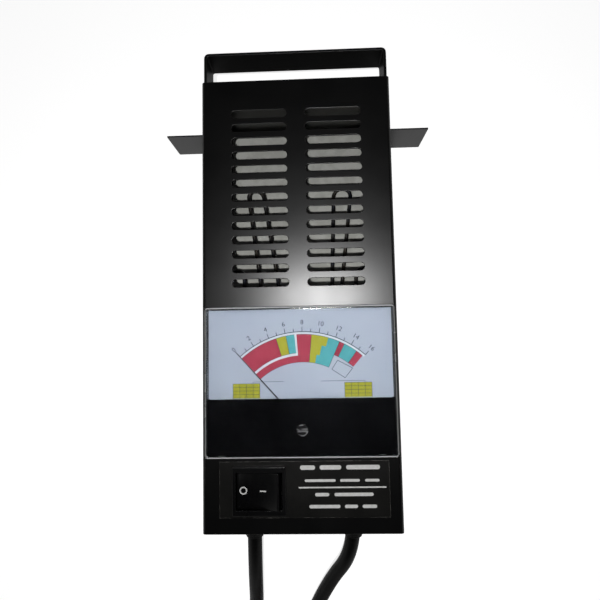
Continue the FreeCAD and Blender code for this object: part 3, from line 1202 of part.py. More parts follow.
# Where each resistance wire's strands run across the case: the inner and outer strand of the tall
# bend near its top and at the lowest vents, then the outer strand of the short bend and the end post
LOAD_STRANDS = {
    "load_wire_left": {"top": (-24.5, -34.9), "low": (-15.3, -27.4), "short": -38.4, "post": f"-{POST_OUT}"},
    "load_wire_right": {"top": (23.8, 35.4), "low": (21.5, 28.4), "short": 37.7, "post": POST_OUT},
}


def strand_at(name, which, y):
    """Where a leaning strand is across the case at a level along it."""
    upper, lower = number_of(STRAND_TOP), number_of(STRAND_LOW)
    top, low = LOAD_STRANDS[name]["top"][which], LOAD_STRANDS[name]["low"][which]
    return low + (top - low) * (y - lower) / (upper - lower)


def turn_at(corners, i):
    """The angle that a path turns by at one of its corners."""
    return (corners[i] - corners[i - 1]).getAngle(corners[i + 1] - corners[i])


def bent_wire(corners, bends):
    """Edges through corners, each rounded by its own radius."""
    edges, last = [], corners[0]
    for i, radius in enumerate(bends, 1):
        come, go = (corners[i] - corners[i - 1]).normalize(), (corners[i + 1] - corners[i]).normalize()
        reach = radius * math.tan(turn_at(corners, i) / 2)
        begin, end = corners[i] - come * reach, corners[i] + go * reach
        if last.distanceToPoint(begin) > TINY:
            edges.append(Part.LineSegment(last, begin).toShape())
        edges.append(arc_between(begin, come, end))
        last = end
    edges.append(Part.LineSegment(last, corners[-1]).toShape())
    return edges


def load_wires():
    """The two resistance wires, and where their ends stand across the case."""
    z, end = number_of(f"{POST_BACK} + load_rise"), number_of(POST_TOP_Y)
    top, fold, short_top = number_of(LOAD_TOP), number_of(LOAD_FOLD), number_of(LOAD_SHORT_TOP)
    ends = []
    for name, strands in LOAD_STRANDS.items():
        start, finish = strand_at(name, 0, end), number_of(strands["post"])
        path = [(start, end), (strand_at(name, 0, top), top), (strand_at(name, 1, top), top),
                (strand_at(name, 1, fold), fold), (strands["short"], fold), (strands["short"], short_top),
                (finish, short_top), (finish, end)]
        corners = [Vector(x, y, z) for x, y in path]
        bends = []
        for a in (1, 3, 5):
            across = abs(corners[a + 1].x - corners[a].x)
            bends += [BEND_SHARE * across / math.tan(turn_at(corners, i) / 2) for i in (a, a + 1)]
        solid_node(name, tube(bent_wire(corners, bends), SIZES["load_wire"]))
        ends.append((start, finish))
    return ends


def load():
    """Resistance wires, load board, posts, bus bar, standoffs and heat shield."""
    ends = load_wires()
    wide_y = around(POST_Y, "post_size / 2")
    node(fuse(*[block(around(str(x), "post_size / 2"), wide_y, (POST_BACK, f"({POST_BACK} + post_high)"))
                for pair in ends for x in pair]), "load_posts")
    inner = (ends[0][0], ends[1][0])
    node(block((f"({inner[0]} + post_size / 2)", f"({inner[1]} - post_size / 2)"), wide_y,
               (POST_BACK, f"({POST_BACK} + bus_thick)")), "load_bus_bar")
    node(plate(rectangle(around("0", BOARD_HALF), (BOARD_Y0, BOARD_Y1)), BOARD_BACK, POST_BACK), "load_board")
    node(fuse(*[rod("Z", (f"({way} * ({BOARD_HALF} - standoff_inset))", y), "case_sheet", BOARD_BACK,
                    "standoff_radius")
                for way in BOTH_WAYS
                for y in (f"({BOARD_Y0} + standoff_inset)", f"({BOARD_Y1} - standoff_inset)")]),
         "board_standoffs")
    under, lip = "(shield_high - shield_thick)", f"({SHIELD_HALF} - shield_thick)"
    low, high = f"({BOARD_Y1} + shield_gap)", f"({END} - shield_margin)"
    tray = profile([
        (f"-{SHIELD_HALF}", "case_sheet"), (f"-{SHIELD_HALF}", "shield_high"), (SHIELD_HALF, "shield_high"),
        (SHIELD_HALF, "case_sheet"), (lip, "case_sheet"), (lip, under),
        (f"-{lip}", under), (f"-{lip}", "case_sheet"),
    ], f"({high} - {low})")
    node(place(tray, y=f"(({high} + {low}) / 2)"), "heat_shield")


# The wires that the case holds, from point to point: chosen by hand and measured from the pieces
# that they pass. The last lead point and the last link point meet their posts.
WIRE_ROUTES = {
    "right_inner_lead": [
        ("lead_right_x", LEAD_EXIT_Y, "lead_level"), ("lead_right_x", f"({SWITCH_Y} - 3.75)", "lead_level"),
        (f"({POST_OUT} - 12.3)", f"({COVER_Y0} + 5.3)", f"({HOUSING_BACK} - 11.05)"),
        (POST_OUT, f"({COVER_Y0} + 32.3)", POST_LEVEL), (POST_OUT, LUG_Y, POST_LEVEL)],
    "switch_link": [
        (LINK_X, BLADE_Y1, LINK_LEVEL), (LINK_X, f"({COVER_Y0} + 4.3)", LINK_LEVEL),
        (f"(10 - {POST_OUT})", f"({COVER_Y0} + 26.3)", LINK_LEVEL),
        (f"-{POST_OUT}", f"({COVER_Y0} + 48.3)", POST_LEVEL), (f"-{POST_OUT}", POST_FACE, POST_LEVEL)],
    "meter_wire_minus": [
        ("-stud_apart", f"({STUD_Y} - ring_outer)", TAG_LEVEL),
        ("-stud_apart", f"({COVER_Y0} + 22.3)", f"({HOUSING_BACK} - 2.05)"),
        ("(-stud_apart - 5)", f"({COVER_Y0} + 2.3)", f"({HOUSING_BACK} - 1.65)"),
        (LOAD_LUG_X, BLADE_Y1, "(lead_level + lug_tongue / 2)")],
    "meter_wire_plus": [
        ("stud_apart", f"({STUD_Y} + ring_outer)", TAG_LEVEL),
        ("(stud_apart + 3)", f"({COVER_Y0} + 59.3)", f"({HOUSING_BACK} - 5.55)"),
        (f"({POST_OUT} - 11.3)", f"({POST_Y} - 2)", POST_LEVEL),
        (f"({POST_OUT} - post_size / 2)", POST_Y, POST_LEVEL)],
}


def wire_run(name, radius):
    """A wire that the case holds, as a tube along its route."""
    points = [tuple(number_of(part) for part in point) for point in WIRE_ROUTES[name]]
    return tube(route(points, name), radius)


def bar_between(x, y, z):
    """A plain bar from three pairs of formulas, as a shape."""
    (x0, x1), (y0, y1), (z0, z1) = [[number_of(part) for part in pair] for pair in (x, y, z)]
    return Part.makeBox(x1 - x0, y1 - y0, z1 - z0, Vector(x0, y0, z0))


def barrel_at(x, y, z):
    """A lug's crimped barrel along +Y, as a shape."""
    return Part.makeCylinder(SIZES["lug_barrel"], SIZES["lug_barrel_long"],
                             Vector(number_of(x), number_of(y), number_of(z)), Y_WAY)


def inner_wiring():
    """The leads' ends in the case, the switch link and the meter wires."""
    blade_y = around(SWITCH_Y, "blade_wide / 2")
    start, finish = number_of(LEAD_EXIT_Y), number_of(f"{BLADE_Y0} - lug_barrel_long")
    lead = Part.makeCylinder(SIZES["lead_radius"], finish - start,
                             Vector(SIZES["lead_left_x"], start, SIZES["lead_level"]), Y_WAY)
    lug_side = sorted((f"({LOAD_BLADE} - lug_tongue)", "(lead_left_x - lug_barrel)"), key=number_of)[0]
    flat = bar_between((lug_side, "(lead_left_x + lug_barrel)"), blade_y, ("lead_level", LUG_TOP))
    upright = bar_between((f"({LOAD_BLADE} - lug_tongue)", LOAD_BLADE), blade_y,
                          ("lead_level", f"({SWITCH_BACK} - lug_tongue)"))
    barrel = barrel_at("lead_left_x", f"({BLADE_Y0} - lug_barrel_long)", "lead_level")
    solid_node("left_inner_lead", lead.fuse([barrel, flat, upright]).removeSplitter())

    run = wire_run("right_inner_lead", SIZES["lead_radius"])
    flat = bar_between(around(POST_OUT, "lug_barrel"), (f"({POST_FACE} - lug_barrel_long)", POST_FACE),
                       around(POST_LEVEL, "lug_tongue / 2"))
    solid_node("right_inner_lead", run.fuse([barrel_at(POST_OUT, LUG_Y, POST_LEVEL), flat]).removeSplitter())

    upright = bar_between((CENTRE_BLADE, f"({CENTRE_BLADE} + lug_tongue)"), blade_y,
                          (f"({LINK_LEVEL} - link_radius)", SWITCH_BACK))
    solid_node("switch_link", wire_run("switch_link", SIZES["link_radius"]).fuse(upright).removeSplitter())

    wires = []
    for name, way in (("meter_wire_minus", -1), ("meter_wire_plus", 1)):
        hub = Vector(way * SIZES["stud_apart"], number_of(STUD_Y), number_of(f"{TAG_LEVEL} - ring_thick / 2"))
        ring = Part.makeCylinder(SIZES["ring_outer"], SIZES["ring_thick"], hub)
        hole = Part.makeCylinder(SIZES["stud_radius"], SIZES["ring_thick"], hub)
        wires.append(ring.cut(hole).fuse(wire_run(name, SIZES["meter_wire"])))
    solid_node("meter_wires", Part.makeCompound(wires))


# The leads' routes on the surface, chosen by hand, up to where the put-away coil takes them
LEAD_ROUTES = {
    "lead_left": [(-32.4, -141.0, 37.5), (-32.4, -168.0, 37.5), (-35.5, -219.0, 5.0),
                  (-44.0, -259.0, 4.8), (-44.0, -290.0, 4.8)],
    "lead_right": [(31.2, -141.0, 37.5), (31.2, -160.5, 37.5), (14.5, -187.0, 22.0),
                   (-2.4, -228.4, 4.8), (-26.36, -264.61, 4.8)],
}
# Each coil: whether it is the outer one, the angle where it takes the lead, where it leaves, where
# it climbs a layer, and the straight run to its clamp
COILS = {
    "lead_left": {"outer": True, "start": 180.0, "finish": 530.0, "climb": (290.0, 430.0), "exit": 50.0},
    "lead_right": {"outer": False, "start": 146.5, "finish": 565.0, "climb": (320.0, 450.0), "exit": 66.0},
}


def coil_end(name):
    """Where a lead's coil ends, the heading there, and the coil's edges."""
    coil = COILS[name]
    step = 2 * SIZES["lead_radius"] + SIZES["lead_layer"]
    radius = SIZES["coil_ring"] + (step if coil["outer"] else 0)
    floor = SIZES["lead_radius"] + SIZES["lead_floor"]
    low, high = coil["climb"]

    def height(angle):
        share = max(0.0, min(1.0, (angle - low) / (high - low)))
        return floor + step * share * share * (3 - 2 * share)

    centre = (SIZES["coil_x"], SIZES["coil_y"])
    edges = []
    for a, b in ((coil["start"], low), (low, high), (high, coil["finish"])):
        edges += ring_route(centre, radius, a, b, height)
    spot = edges[-1].valueAt(edges[-1].LastParameter)
    turned = math.radians(coil["finish"])
    return spot, Vector(-math.sin(turned), math.cos(turned), 0), edges


def clamp_frame(name):
    """The placement of a clamp: its cable end meets the lead that comes to it."""
    spot, heading, _ = coil_end(name)
    entry = spot + heading * COILS[name]["exit"]
    turn = Rotation(Z_WAY, math.degrees(math.atan2(heading.y, heading.x)))
    if name == "lead_left":
        turn = turn.multiply(Rotation(X_WAY, 180))
    turn = turn.multiply(Rotation(Z_WAY, -number_of(HANDLE_ANGLE)))
    return Placement(entry + turn.multVec(Vector(0, number_of(CLAMP_CABLE), 0)), turn)


def cable_rod(low, high, radius):
    """A round bar along the lead's line in a clamp's fixed handle, from its rear end."""
    thing = rod("X", (f"-{CLAMP_CABLE}", "0"), "0", f"({high}) - ({low})", radius)
    thing.Placement.Rotation = Rotation(Z_WAY, number_of(HANDLE_ANGLE)).multiply(TURNS["X"])
    bind(thing, Placement__Base__x=f"({low}) * cos({HANDLE_ANGLE})",
         Placement__Base__y=f"({low}) * sin({HANDLE_ANGLE}) - {CLAMP_CABLE}")
    return thing


def grommets():
    """A rubber grommet round each lead where it leaves the case."""
    outer, inside = f"(-{END})", f"(case_sheet - {END})"
    face, back = f"({outer} - grommet_flange_thick)", f"({inside} + grommet_inner_thick)"
    for side in ("left", "right"):
        spot = (f"lead_{side}_x", "lead_level")
        node(cut(fuse(
            rod("Y", spot, face, outer, "grommet_flange"),
            rod("Y", spot, LEAD_EXIT_Y, face, "grommet_tip", "grommet_neck"),
            rod("Y", spot, outer, inside, "grommet_hole - grommet_play"),
            rod("Y", spot, inside, back, "grommet_flange")),
            rod("Y", spot, *past(LEAD_EXIT_Y, back), "lead_radius + grommet_play")), f"grommet_{side}")


def leads():
    """The leads' free stretches and their put-away coils."""
    radius = SIZES["lead_radius"]
    for name, points in LEAD_ROUTES.items():
        edges = route(points, name)
        spot, heading, turns = coil_end(name)
        leave = spot + heading * (COILS[name]["exit"] + SIZES["clamp_crimp"])
        turns.append(Part.LineSegment(spot, leave).toShape())
        both = [*edges, *turns]
        print(name, "length", round(sum(edge.Length for edge in both), 1),
              "gap", round(least_gap(both, radius, SIZES["coil_ring"]), 2))
        solid_node(name, tube(edges, radius))
        solid_node(f"{name}_coil", tube(turns, radius))


def mirrored(corners, way):
    """Corners on the +Y side of the middle line, or on the other side."""
    return [(x, f"({way} * ({y}))") for x, y in corners]


def jaw_outline():
    """The back and the inner edge of a jaw with its handle, from the handle's end to the tip and back."""
    back = [
        ("0", "clamp_spread"), ("(clamp_pivot - clamp_neck)", "clamp_waist"),
        ("(clamp_pivot + jaw_straight)", "clamp_waist"), ("(clamp_pivot + bow_start)", "clamp_bow"),
        ("(clamp_pivot + bow_end)", "(clamp_bow - bow_fall)"), (f"({CLAMP_TIP} - nose_long)", "nose_high"),
        (CLAMP_TIP, "(jaw_gap + tip_high)")]
    edge = [
        (CLAMP_TIP, "jaw_gap"), (f"({CLAMP_TIP} - bite_long)", "jaw_gap"),
        (f"({CLAMP_TIP} - throat_front)", "throat_low"), ("(clamp_pivot + throat_middle)", "throat_high"),
        ("(clamp_pivot + throat_back)", "throat_rear"), ("(clamp_pivot + jaw_straight)", "0"),
        ("(clamp_pivot - jaw_straight)", "0"), ("grip_long", HANDLE_MOUTH), ("0", HANDLE_INNER)]
    return back, edge


def clamp_jaw(name, way, half, frame, pin, crimp):
    """One stamped jaw with its handle: a channel that is open towards the middle line."""
    back, edge = jaw_outline()
    outer = plate(mirrored([*back, *edge], way), *around("0", half))
    ear = rod("Z", ("clamp_pivot", "0"), *around("0", half), "clamp_ear")
    room = around("0", f"({half} - clamp_sheet)")
    inner_back = [(x, f"({y} - clamp_sheet)") for x, y in back[:-1]]
    inner_back[0] = ("-overcut", f"(clamp_spread - clamp_sheet + {HANDLE_SLOPE} * overcut)")
    end = f"({CLAMP_TIP} - clamp_sheet)"
    channel = plate(mirrored([
        *inner_back, (end, "(jaw_gap + tip_high - clamp_sheet / 2)"),
        (end, "-clamp_bow"), ("-overcut", "-clamp_bow")], way), *room)
    tools = [channel, rod("Z", ("clamp_pivot", "0"), *past(*around("0", half)), pin)]
    for i in range(int(SIZES["tooth_count"])):
        spot = f"({CLAMP_TIP} - tooth_pitch * {i + 1})"
        sides = around(spot, "tooth_pitch / 2")
        tools.append(plate(mirrored([
            (sides[0], "(jaw_gap - fit_play)"), (sides[1], "(jaw_gap - fit_play)"),
            (spot, "(jaw_gap + tooth_deep)")], way), *past(*around("0", half))))
    jaw = cut(fuse(outer, ear), *tools)
    if crimp:
        band = cable_rod("(clamp_crimp - crimp_long)", "clamp_crimp", "(lead_radius + clamp_sheet)")
        inside = plate(mirrored([
            *inner_back[:2], ("grip_long", HANDLE_MOUTH), ("0", HANDLE_INNER)], way), *room)
        bore = cable_rod("-overcut", "(clamp_crimp + overcut)", "(lead_radius + grommet_play)")
        jaw = cut(fuse(jaw, common(band, inside)), bore)
    jaw.Placement = frame
    return node(jaw, name)


def clamp_grip(name, way, frame, half, cable):
    """A moulded grip over one handle."""
    rise = f"({HANDLE_SLOPE} * grip_end)"
    back_end = f"(clamp_spread - {HANDLE_SLOPE} * grip_long)"
    shell = plate(mirrored([
        ("-grip_end", f"(clamp_spread + grip_wall + {rise})"), ("grip_long", f"({back_end} + grip_wall)"),
        ("grip_long", f"({HANDLE_MOUTH} - grip_wall)"),
        ("-grip_end", f"({HANDLE_INNER} + {rise} - grip_wall)"),
    ], way), *around("0", "grip_half"))
    soft = round_edges(shell, "grip_round", lambda edge: True)
    mouth, fall = "(grip_long + overcut)", f"{HANDLE_SLOPE} * overcut"
    hollow = plate(mirrored([
        ("0", "(clamp_spread + fit_play)"), (mouth, f"({back_end} - {fall} + fit_play)"),
        (mouth, f"({HANDLE_MOUTH} - {fall} - fit_play)"), ("0", f"({HANDLE_INNER} - fit_play)"),
    ], way), *around("0", f"({half} + fit_play)"))
    tools = [hollow]
    if cable:
        tools.append(cable_rod("(-grip_end * 2)", "grip_end", "(lead_radius + grommet_play)"))
    grip = cut(soft, *tools)
    grip.Placement = frame
    return node(grip, name)


def clamp_spring(name, frame):
    """A clamp's torsion spring: its coil round the pin and a leg on the back of each handle."""
    pitch, wire = SIZES["torsion_pitch"], SIZES["torsion_wire"]
    radius = number_of("clamp_pin + torsion_play + torsion_wire")
    turns = SIZES["torsion_turns"] + HALF_TURN
    start, centre = -pitch * turns / 2, SIZES["clamp_pivot"]
    coil = helix(radius, pitch, turns, wire, start, across=centre, from_angle=-90.0)
    first, last = coil[0], coil[-1]
    end = centre - SIZES["torsion_end"]
    seat = number_of(f"clamp_spread - {HANDLE_SLOPE} * (clamp_pivot - torsion_end) - clamp_sheet - "
                     f"(torsion_wire + torsion_play) / cos({HANDLE_ANGLE})")
    knee = centre - 2 * radius
    legs = []
    ends = ((-1, first.tangentAt(first.FirstParameter) * -1), (1, last.tangentAt(last.LastParameter)))
    for side, heading in ends:
        spot = Vector(centre, side * radius, -side * start)
        bend, foot = Vector(knee, spot.y, spot.z), Vector(end, side * seat, spot.z)
        along_leg = (foot - bend).normalize()
        begin = bend + along_leg * radius
        legs.append([*biarc(spot, heading, begin, along_leg), Part.LineSegment(begin, foot).toShape()])
    lead_in = [edge.reversed() for edge in reversed(legs[0])]
    spring = solid_node(name, tube([*lead_in, *coil, *legs[1]], wire))
    spring.Placement = frame


def clamp_pin(name, frame):
    """A clamp's pivot pin with a riveted head at each end."""
    pivot, head = ("clamp_pivot", "0"), "(clamp_half + clamp_pin_head_high)"
    pin = fuse(
        rod("Z", pivot, *around("0", "clamp_half"), "clamp_pin"),
        rod("Z", pivot, "clamp_half", head, "clamp_pin_head", "clamp_pin"),
        rod("Z", pivot, f"-{head}", "-clamp_half", "clamp_pin", "clamp_pin_head"))
    pin.Placement = frame
    node(pin, name)


def clamps():
    """A battery clamp on the end of each lead."""
    fixed_half, moving_half = "clamp_half", "(clamp_half - clamp_sheet - clamp_nest)"
    for lead, colour in (("lead_left", "black"), ("lead_right", "red")):
        frame, base = clamp_frame(lead), f"clamp_{colour}"
        clamp_jaw(f"{base}_fixed_jaw", "-1", fixed_half, frame, "clamp_pin", True)
        clamp_jaw(f"{base}_moving_jaw", "1", moving_half, frame, "(clamp_pin + clamp_pin_run)", False)
        clamp_grip(f"{base}_fixed_grip", "-1", frame, fixed_half, True)
        clamp_grip(f"{base}_moving_grip", "1", frame, moving_half, False)
        clamp_pin(f"{base}_pivot_pin", frame)
        clamp_spring(f"{base}_spring", frame)


front_cover()
rear_chassis()
handle()
case_screws()
label()
meter()
switch()
switch_contacts()
load()
inner_wiring()
grommets()
leads()
clamps()
doc.recompute()

for thing in doc.Objects:
    if "Invalid" in thing.State or "Error" in thing.State:
        raise ValueError(f"{thing.Label} ({thing.Name}) failed: {thing.State}")
for thing in NODES:
    if thing.Shape.isNull() or not thing.Shape.isValid():
        raise ValueError(f"{thing.Label} has no valid shape")

os.makedirs("parts", exist_ok=True)
for thing in NODES:
    thing.Shape.exportStep(f"parts/{thing.Label}.step")
print(len(NODES), "pieces written")
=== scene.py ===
"""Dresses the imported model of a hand-held battery load tester.

Sizes are in millimetres until a point or a modifier needs them, and the model's own frame is used:
+Z points out of the front face, +Y towards the handle, and the origin is the centre of the case's
back face.
"""

import json
import logging
import math
from collections.abc import Callable, Iterable, Sequence
from dataclasses import dataclass
from enum import Enum

import bmesh
import bpy
from mathutils import Euler, Matrix, Vector

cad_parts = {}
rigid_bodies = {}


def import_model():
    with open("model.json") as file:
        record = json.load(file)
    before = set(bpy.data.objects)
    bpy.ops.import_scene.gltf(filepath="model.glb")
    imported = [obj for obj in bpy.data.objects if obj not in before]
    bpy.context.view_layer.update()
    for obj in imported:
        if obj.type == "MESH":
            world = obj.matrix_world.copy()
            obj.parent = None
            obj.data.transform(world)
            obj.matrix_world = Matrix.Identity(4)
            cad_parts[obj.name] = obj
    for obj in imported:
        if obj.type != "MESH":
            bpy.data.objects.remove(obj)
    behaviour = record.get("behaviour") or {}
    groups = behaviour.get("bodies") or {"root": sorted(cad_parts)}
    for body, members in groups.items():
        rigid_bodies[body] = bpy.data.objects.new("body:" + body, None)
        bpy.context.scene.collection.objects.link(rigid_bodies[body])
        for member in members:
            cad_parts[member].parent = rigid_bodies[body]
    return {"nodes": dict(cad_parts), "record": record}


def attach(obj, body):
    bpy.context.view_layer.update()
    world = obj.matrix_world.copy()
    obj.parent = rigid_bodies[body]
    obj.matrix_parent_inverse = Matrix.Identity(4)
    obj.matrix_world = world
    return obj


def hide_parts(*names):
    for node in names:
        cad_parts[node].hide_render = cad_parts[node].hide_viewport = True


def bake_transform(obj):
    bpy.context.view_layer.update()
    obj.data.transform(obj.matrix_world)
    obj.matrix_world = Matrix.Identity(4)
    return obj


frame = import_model()
log = logging.getLogger("load_tester")

MM = 0.001
TESTER = "tester"
SAME_SPOT = 0.002  # mm, within which the corners of a sheet's parts are one corner
CLOSE = 0.001  # mm, the same for turned and moulded pieces
HAIR = 0.0005  # mm, the same for print and for faces without area
TIE_DIGITS = 6  # decimals of a metre, within which two faces are equally high
PRINT_SHARP = 20.0  # degrees, from which an edge of print is shaded as an edge
SHEET_SHARP = 30.0  # degrees, the same for bent sheet
MOULDED_SHARP = 50.0  # degrees, the same for the grips and the gloss mask
SHEET_EDGE = (3, 50.0)  # the steps of a sheet's rounded edges and their least angle in degrees
BORE_STEPS = 40

Point = tuple[float, float, float]
Flat = tuple[float, float]
Colour = tuple[float, float, float]
Outline = Sequence[Flat]
Shape = Sequence[Outline]
Mesh = bmesh.types.BMesh
Node = bpy.types.Node
Socket = bpy.types.NodeSocket
Piece = bpy.types.Object
Material = bpy.types.Material

FORWARD = Vector((0, 0, 1))
UPWARD = Vector((0, 1, 0))


class LeadSide(Enum):
    """The two heavy leads."""

    LEFT = "lead_left"
    RIGHT = "lead_right"


class Ink(Enum):
    """The dial's printing inks."""

    BLACK = "dial_ink_black"
    RED = "dial_ink_red"
    YELLOW = "dial_ink_yellow"
    TEAL = "dial_ink_teal"
    WHITE = "dial_ink_white"


class Half(Enum):
    """The two halves of a clamp, by the side of its middle line that each is on."""

    FIXED = -1
    MOVING = 1


# ---------------------------------------------------------------- meshes


def mm(*values: float) -> Vector:
    """Turn millimetres into a vector in metres."""
    return Vector([value * MM for value in values])


def link(name: str, data: bpy.types.ID) -> Piece:
    """Put mesh, curve, lamp or camera data into the scene as an object.

    Args:
        name: The object's name.
        data: What the object shows.

    Returns:
        The new object.
    """
    piece = bpy.data.objects.new(name, data)
    bpy.context.scene.collection.objects.link(piece)
    return piece


def dress(piece: Piece, material: Material) -> None:
    """Give a piece one material."""
    piece.data.materials.clear()
    piece.data.materials.append(material)


def soften(piece: Piece, width: float, segments: int = 2, angle: float = 35.0) -> None:
    """Round a piece's sharp edges a little.

    Args:
        piece: The piece.
        width: How wide the rounding is, in millimetres.
        segments: The steps that it is made in.
        angle: The angle in degrees from which an edge counts as sharp.
    """
    bevel = piece.modifiers.new("rounded edges", "BEVEL")
    bevel.width = width * MM
    bevel.segments = segments
    bevel.limit_method = "ANGLE"
    bevel.angle_limit = math.radians(angle)
    bevel.use_clamp_overlap = False
    bevel.harden_normals = True


def even_out(piece: Piece, lead: int = 80) -> None:
    """Let a piece's large flat faces lead its shading, so that they look flat.

    Args:
        piece: The piece.
        lead: How far the large faces lead, from 1 to 100, with 50 for not at all.
    """
    shading = piece.modifiers.new("flat shading", "WEIGHTED_NORMAL")
    shading.keep_sharp = True
    shading.weight = lead


def weld(piece: Piece) -> None:
    """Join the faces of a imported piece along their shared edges."""
    join = piece.modifiers.new("joined faces", "WELD")
    join.merge_threshold = SAME_SPOT * MM


def thicken(piece: Piece, thickness: float) -> None:
    """Give an open sheet its thickness, inwards from its outer face.

    Args:
        piece: The sheet.
        thickness: Its thickness in millimetres.
    """
    solid = piece.modifiers.new("sheet", "SOLIDIFY")
    solid.thickness = thickness * MM
    solid.offset = -1.0
    solid.use_even_offset = True


def settle(piece: Piece) -> None:
    """Apply a piece's modifiers to its mesh.

    Args:
        piece: The piece.
    """
    graph = bpy.context.evaluated_depsgraph_get()
    made = bpy.data.meshes.new_from_object(piece.evaluated_get(graph))
    piece.modifiers.clear()
    piece.data = made


def carve(piece: Piece, cutter: Piece) -> None:
    """Cut one piece out of another, and drop the cutter.

    Args:
        piece: The piece that keeps the hole.
        cutter: The closed piece that makes it.
    """
    cut = piece.modifiers.new("hole", "BOOLEAN")
    cut.operation = "DIFFERENCE"
    cut.solver = "EXACT"
    cut.object = cutter
    settle(piece)
    bpy.data.objects.remove(cutter)


def make_piece(name: str, bm: Mesh, sharp: float = 40.0) -> Piece:
    """Turn a mesh into an object with smooth shading between its sharp edges.

    Args:
        name: The object's name.
        bm: The mesh, which is used up.
        sharp: The angle in degrees from which an edge stays sharp.

    Returns:
        The new object.
    """
    for face in bm.faces:
        face.smooth = True
    mesh = bpy.data.meshes.new(name)
    bm.to_mesh(mesh)
    bm.free()
    mesh.set_sharp_from_angle(angle=math.radians(sharp))
    return link(name, mesh)


def arc(middle: Flat, radius: float, start: float, finish: float, steps: int) -> list[Flat]:
    """Points along an arc.

    Args:
        middle: The arc's centre.
        radius: Its radius.
        start: Where it starts, in degrees.
        finish: Where it ends, in degrees.
        steps: How many steps it takes.

    Returns:
        The points, both ends included.
    """
    angles = [math.radians(start + (finish - start) * i / steps) for i in range(steps + 1)]
    return [(middle[0] + radius * math.cos(a), middle[1] + radius * math.sin(a)) for a in angles]


def rounded_outline(low: Flat, high: Flat, radius: float, steps: int = 5) -> list[Flat]:
    """A rectangle with round corners.

    Args:
        low: Its lower left corner.
        high: Its upper right corner.
        radius: The radius of its corners.
        steps: How many steps each corner takes.

    Returns:
        Its outline, anticlockwise.
    """
    (x0, y0), (x1, y1) = low, high
    points = []
    for middle, start in (((x1 - radius, y0 + radius), -90), ((x1 - radius, y1 - radius), 0),
                          ((x0 + radius, y1 - radius), 90), ((x0 + radius, y0 + radius), 180)):
        points += arc(middle, radius, start, start + 90, steps)
    return points


def flat_face(bm: Mesh, outlines: Shape, spot: Callable[[Flat], Vector]) -> None:
    """Fill a flat area that may have holes.

    Args:
        bm: The mesh that the face goes into.
        outlines: The outer outline and then each hole's.
        spot: Turns a flat point into its place in the model.
    """
    edges = []
    for outline in outlines:
        corners = [bm.verts.new(spot(point)) for point in outline]
        edges += [bm.edges.new((a, b)) for a, b in zip(corners, corners[1:] + corners[:1])]
    bmesh.ops.triangle_fill(bm, use_beauty=True, edges=edges)


def strip(bm: Mesh, rows: Sequence[Sequence[Vector]], closed: bool = False) -> None:
    """Join rows of points by quads.

    Args:
        bm: The mesh that the quads go into.
        rows: Rows of the same length.
        closed: Whether each row is a ring.
    """
    made = [[bm.verts.new(point) for point in row] for row in rows]
    for near, far in zip(made, made[1:]):
        for i in range(len(near) if closed else len(near) - 1):
            j = (i + 1) % len(near)
            bm.faces.new((near[i], near[j], far[j], far[i]))


def cap(bm: Mesh, ring: Sequence[Vector]) -> None:
    """Close a ring of points with one face."""
    bm.faces.new([bm.verts.new(point) for point in ring])


def closed_up(bm: Mesh, reach: float) -> None:
    """Join corners that meet within so many millimetres, and turn the faces the same way."""
    bmesh.ops.remove_doubles(bm, verts=bm.verts, dist=reach * MM)
    bmesh.ops.recalc_face_normals(bm, faces=bm.faces)


def joined(bm: Mesh, outward: Vector) -> None:
    """Join a sheet's parts and turn its faces the same way.

    Args:
        bm: The mesh.
        outward: The way that its highest face along this vector has to face.
    """
    closed_up(bm, SAME_SPOT)
    top = max(bm.faces, key=lambda face: (
        round(face.calc_center_median().dot(outward), TIE_DIGITS), face.calc_area()))
    if top.normal.dot(outward) < 0:
        bmesh.ops.reverse_faces(bm, faces=bm.faces)


def turned(name: str, profile: Outline, places: Iterable[Matrix], steps: int = 48) -> Piece:
    """Turn a profile round an axis, once or in several places.

    Args:
        name: The piece's name.
        profile: Radius and height of each point, in millimetres.
        places: Where each copy's axis stands.
        steps: The steps round the axis.

    Returns:
        One object with all the copies.
    """
    angles = [2 * math.pi * i / steps for i in range(steps)]
    bm = bmesh.new()
    for place in places:
        strip(bm, [[place @ mm(radius * math.cos(a), radius * math.sin(a), height) for a in angles]
                   for radius, height in profile], closed=True)
    bmesh.ops.remove_doubles(bm, verts=bm.verts, dist=CLOSE * MM)
    bmesh.ops.dissolve_degenerate(bm, dist=HAIR * MM, edges=bm.edges)
    bmesh.ops.recalc_face_normals(bm, faces=bm.faces)
    return make_piece(name, bm)


def standing(middle: Point, axis: Point) -> Matrix:
    """The place at a spot in millimetres whose own Z axis points along an axis."""
    turn = FORWARD.rotation_difference(Vector(axis)).to_matrix().to_4x4()
    return Matrix.Translation(mm(*middle)) @ turn


def drill(piece: Piece, bore: Point, level: float = 70.0, reach: Flat = (-1.0, 9.0)) -> None:
    """Bore a round hole through a moulding, along Z.

    Args:
        piece: The piece.
        bore: The hole's X, Y and radius.
        level: The height that the hole is drilled at.
        reach: How far it goes below and above that height.
    """
    x, y, radius = bore
    low, high = reach
    profile = [(0, low), (radius, low), (radius, high), (0, high)]
    carve(piece, turned("bore", profile, [standing((x, y, level), (0, 0, 1))], BORE_STEPS))


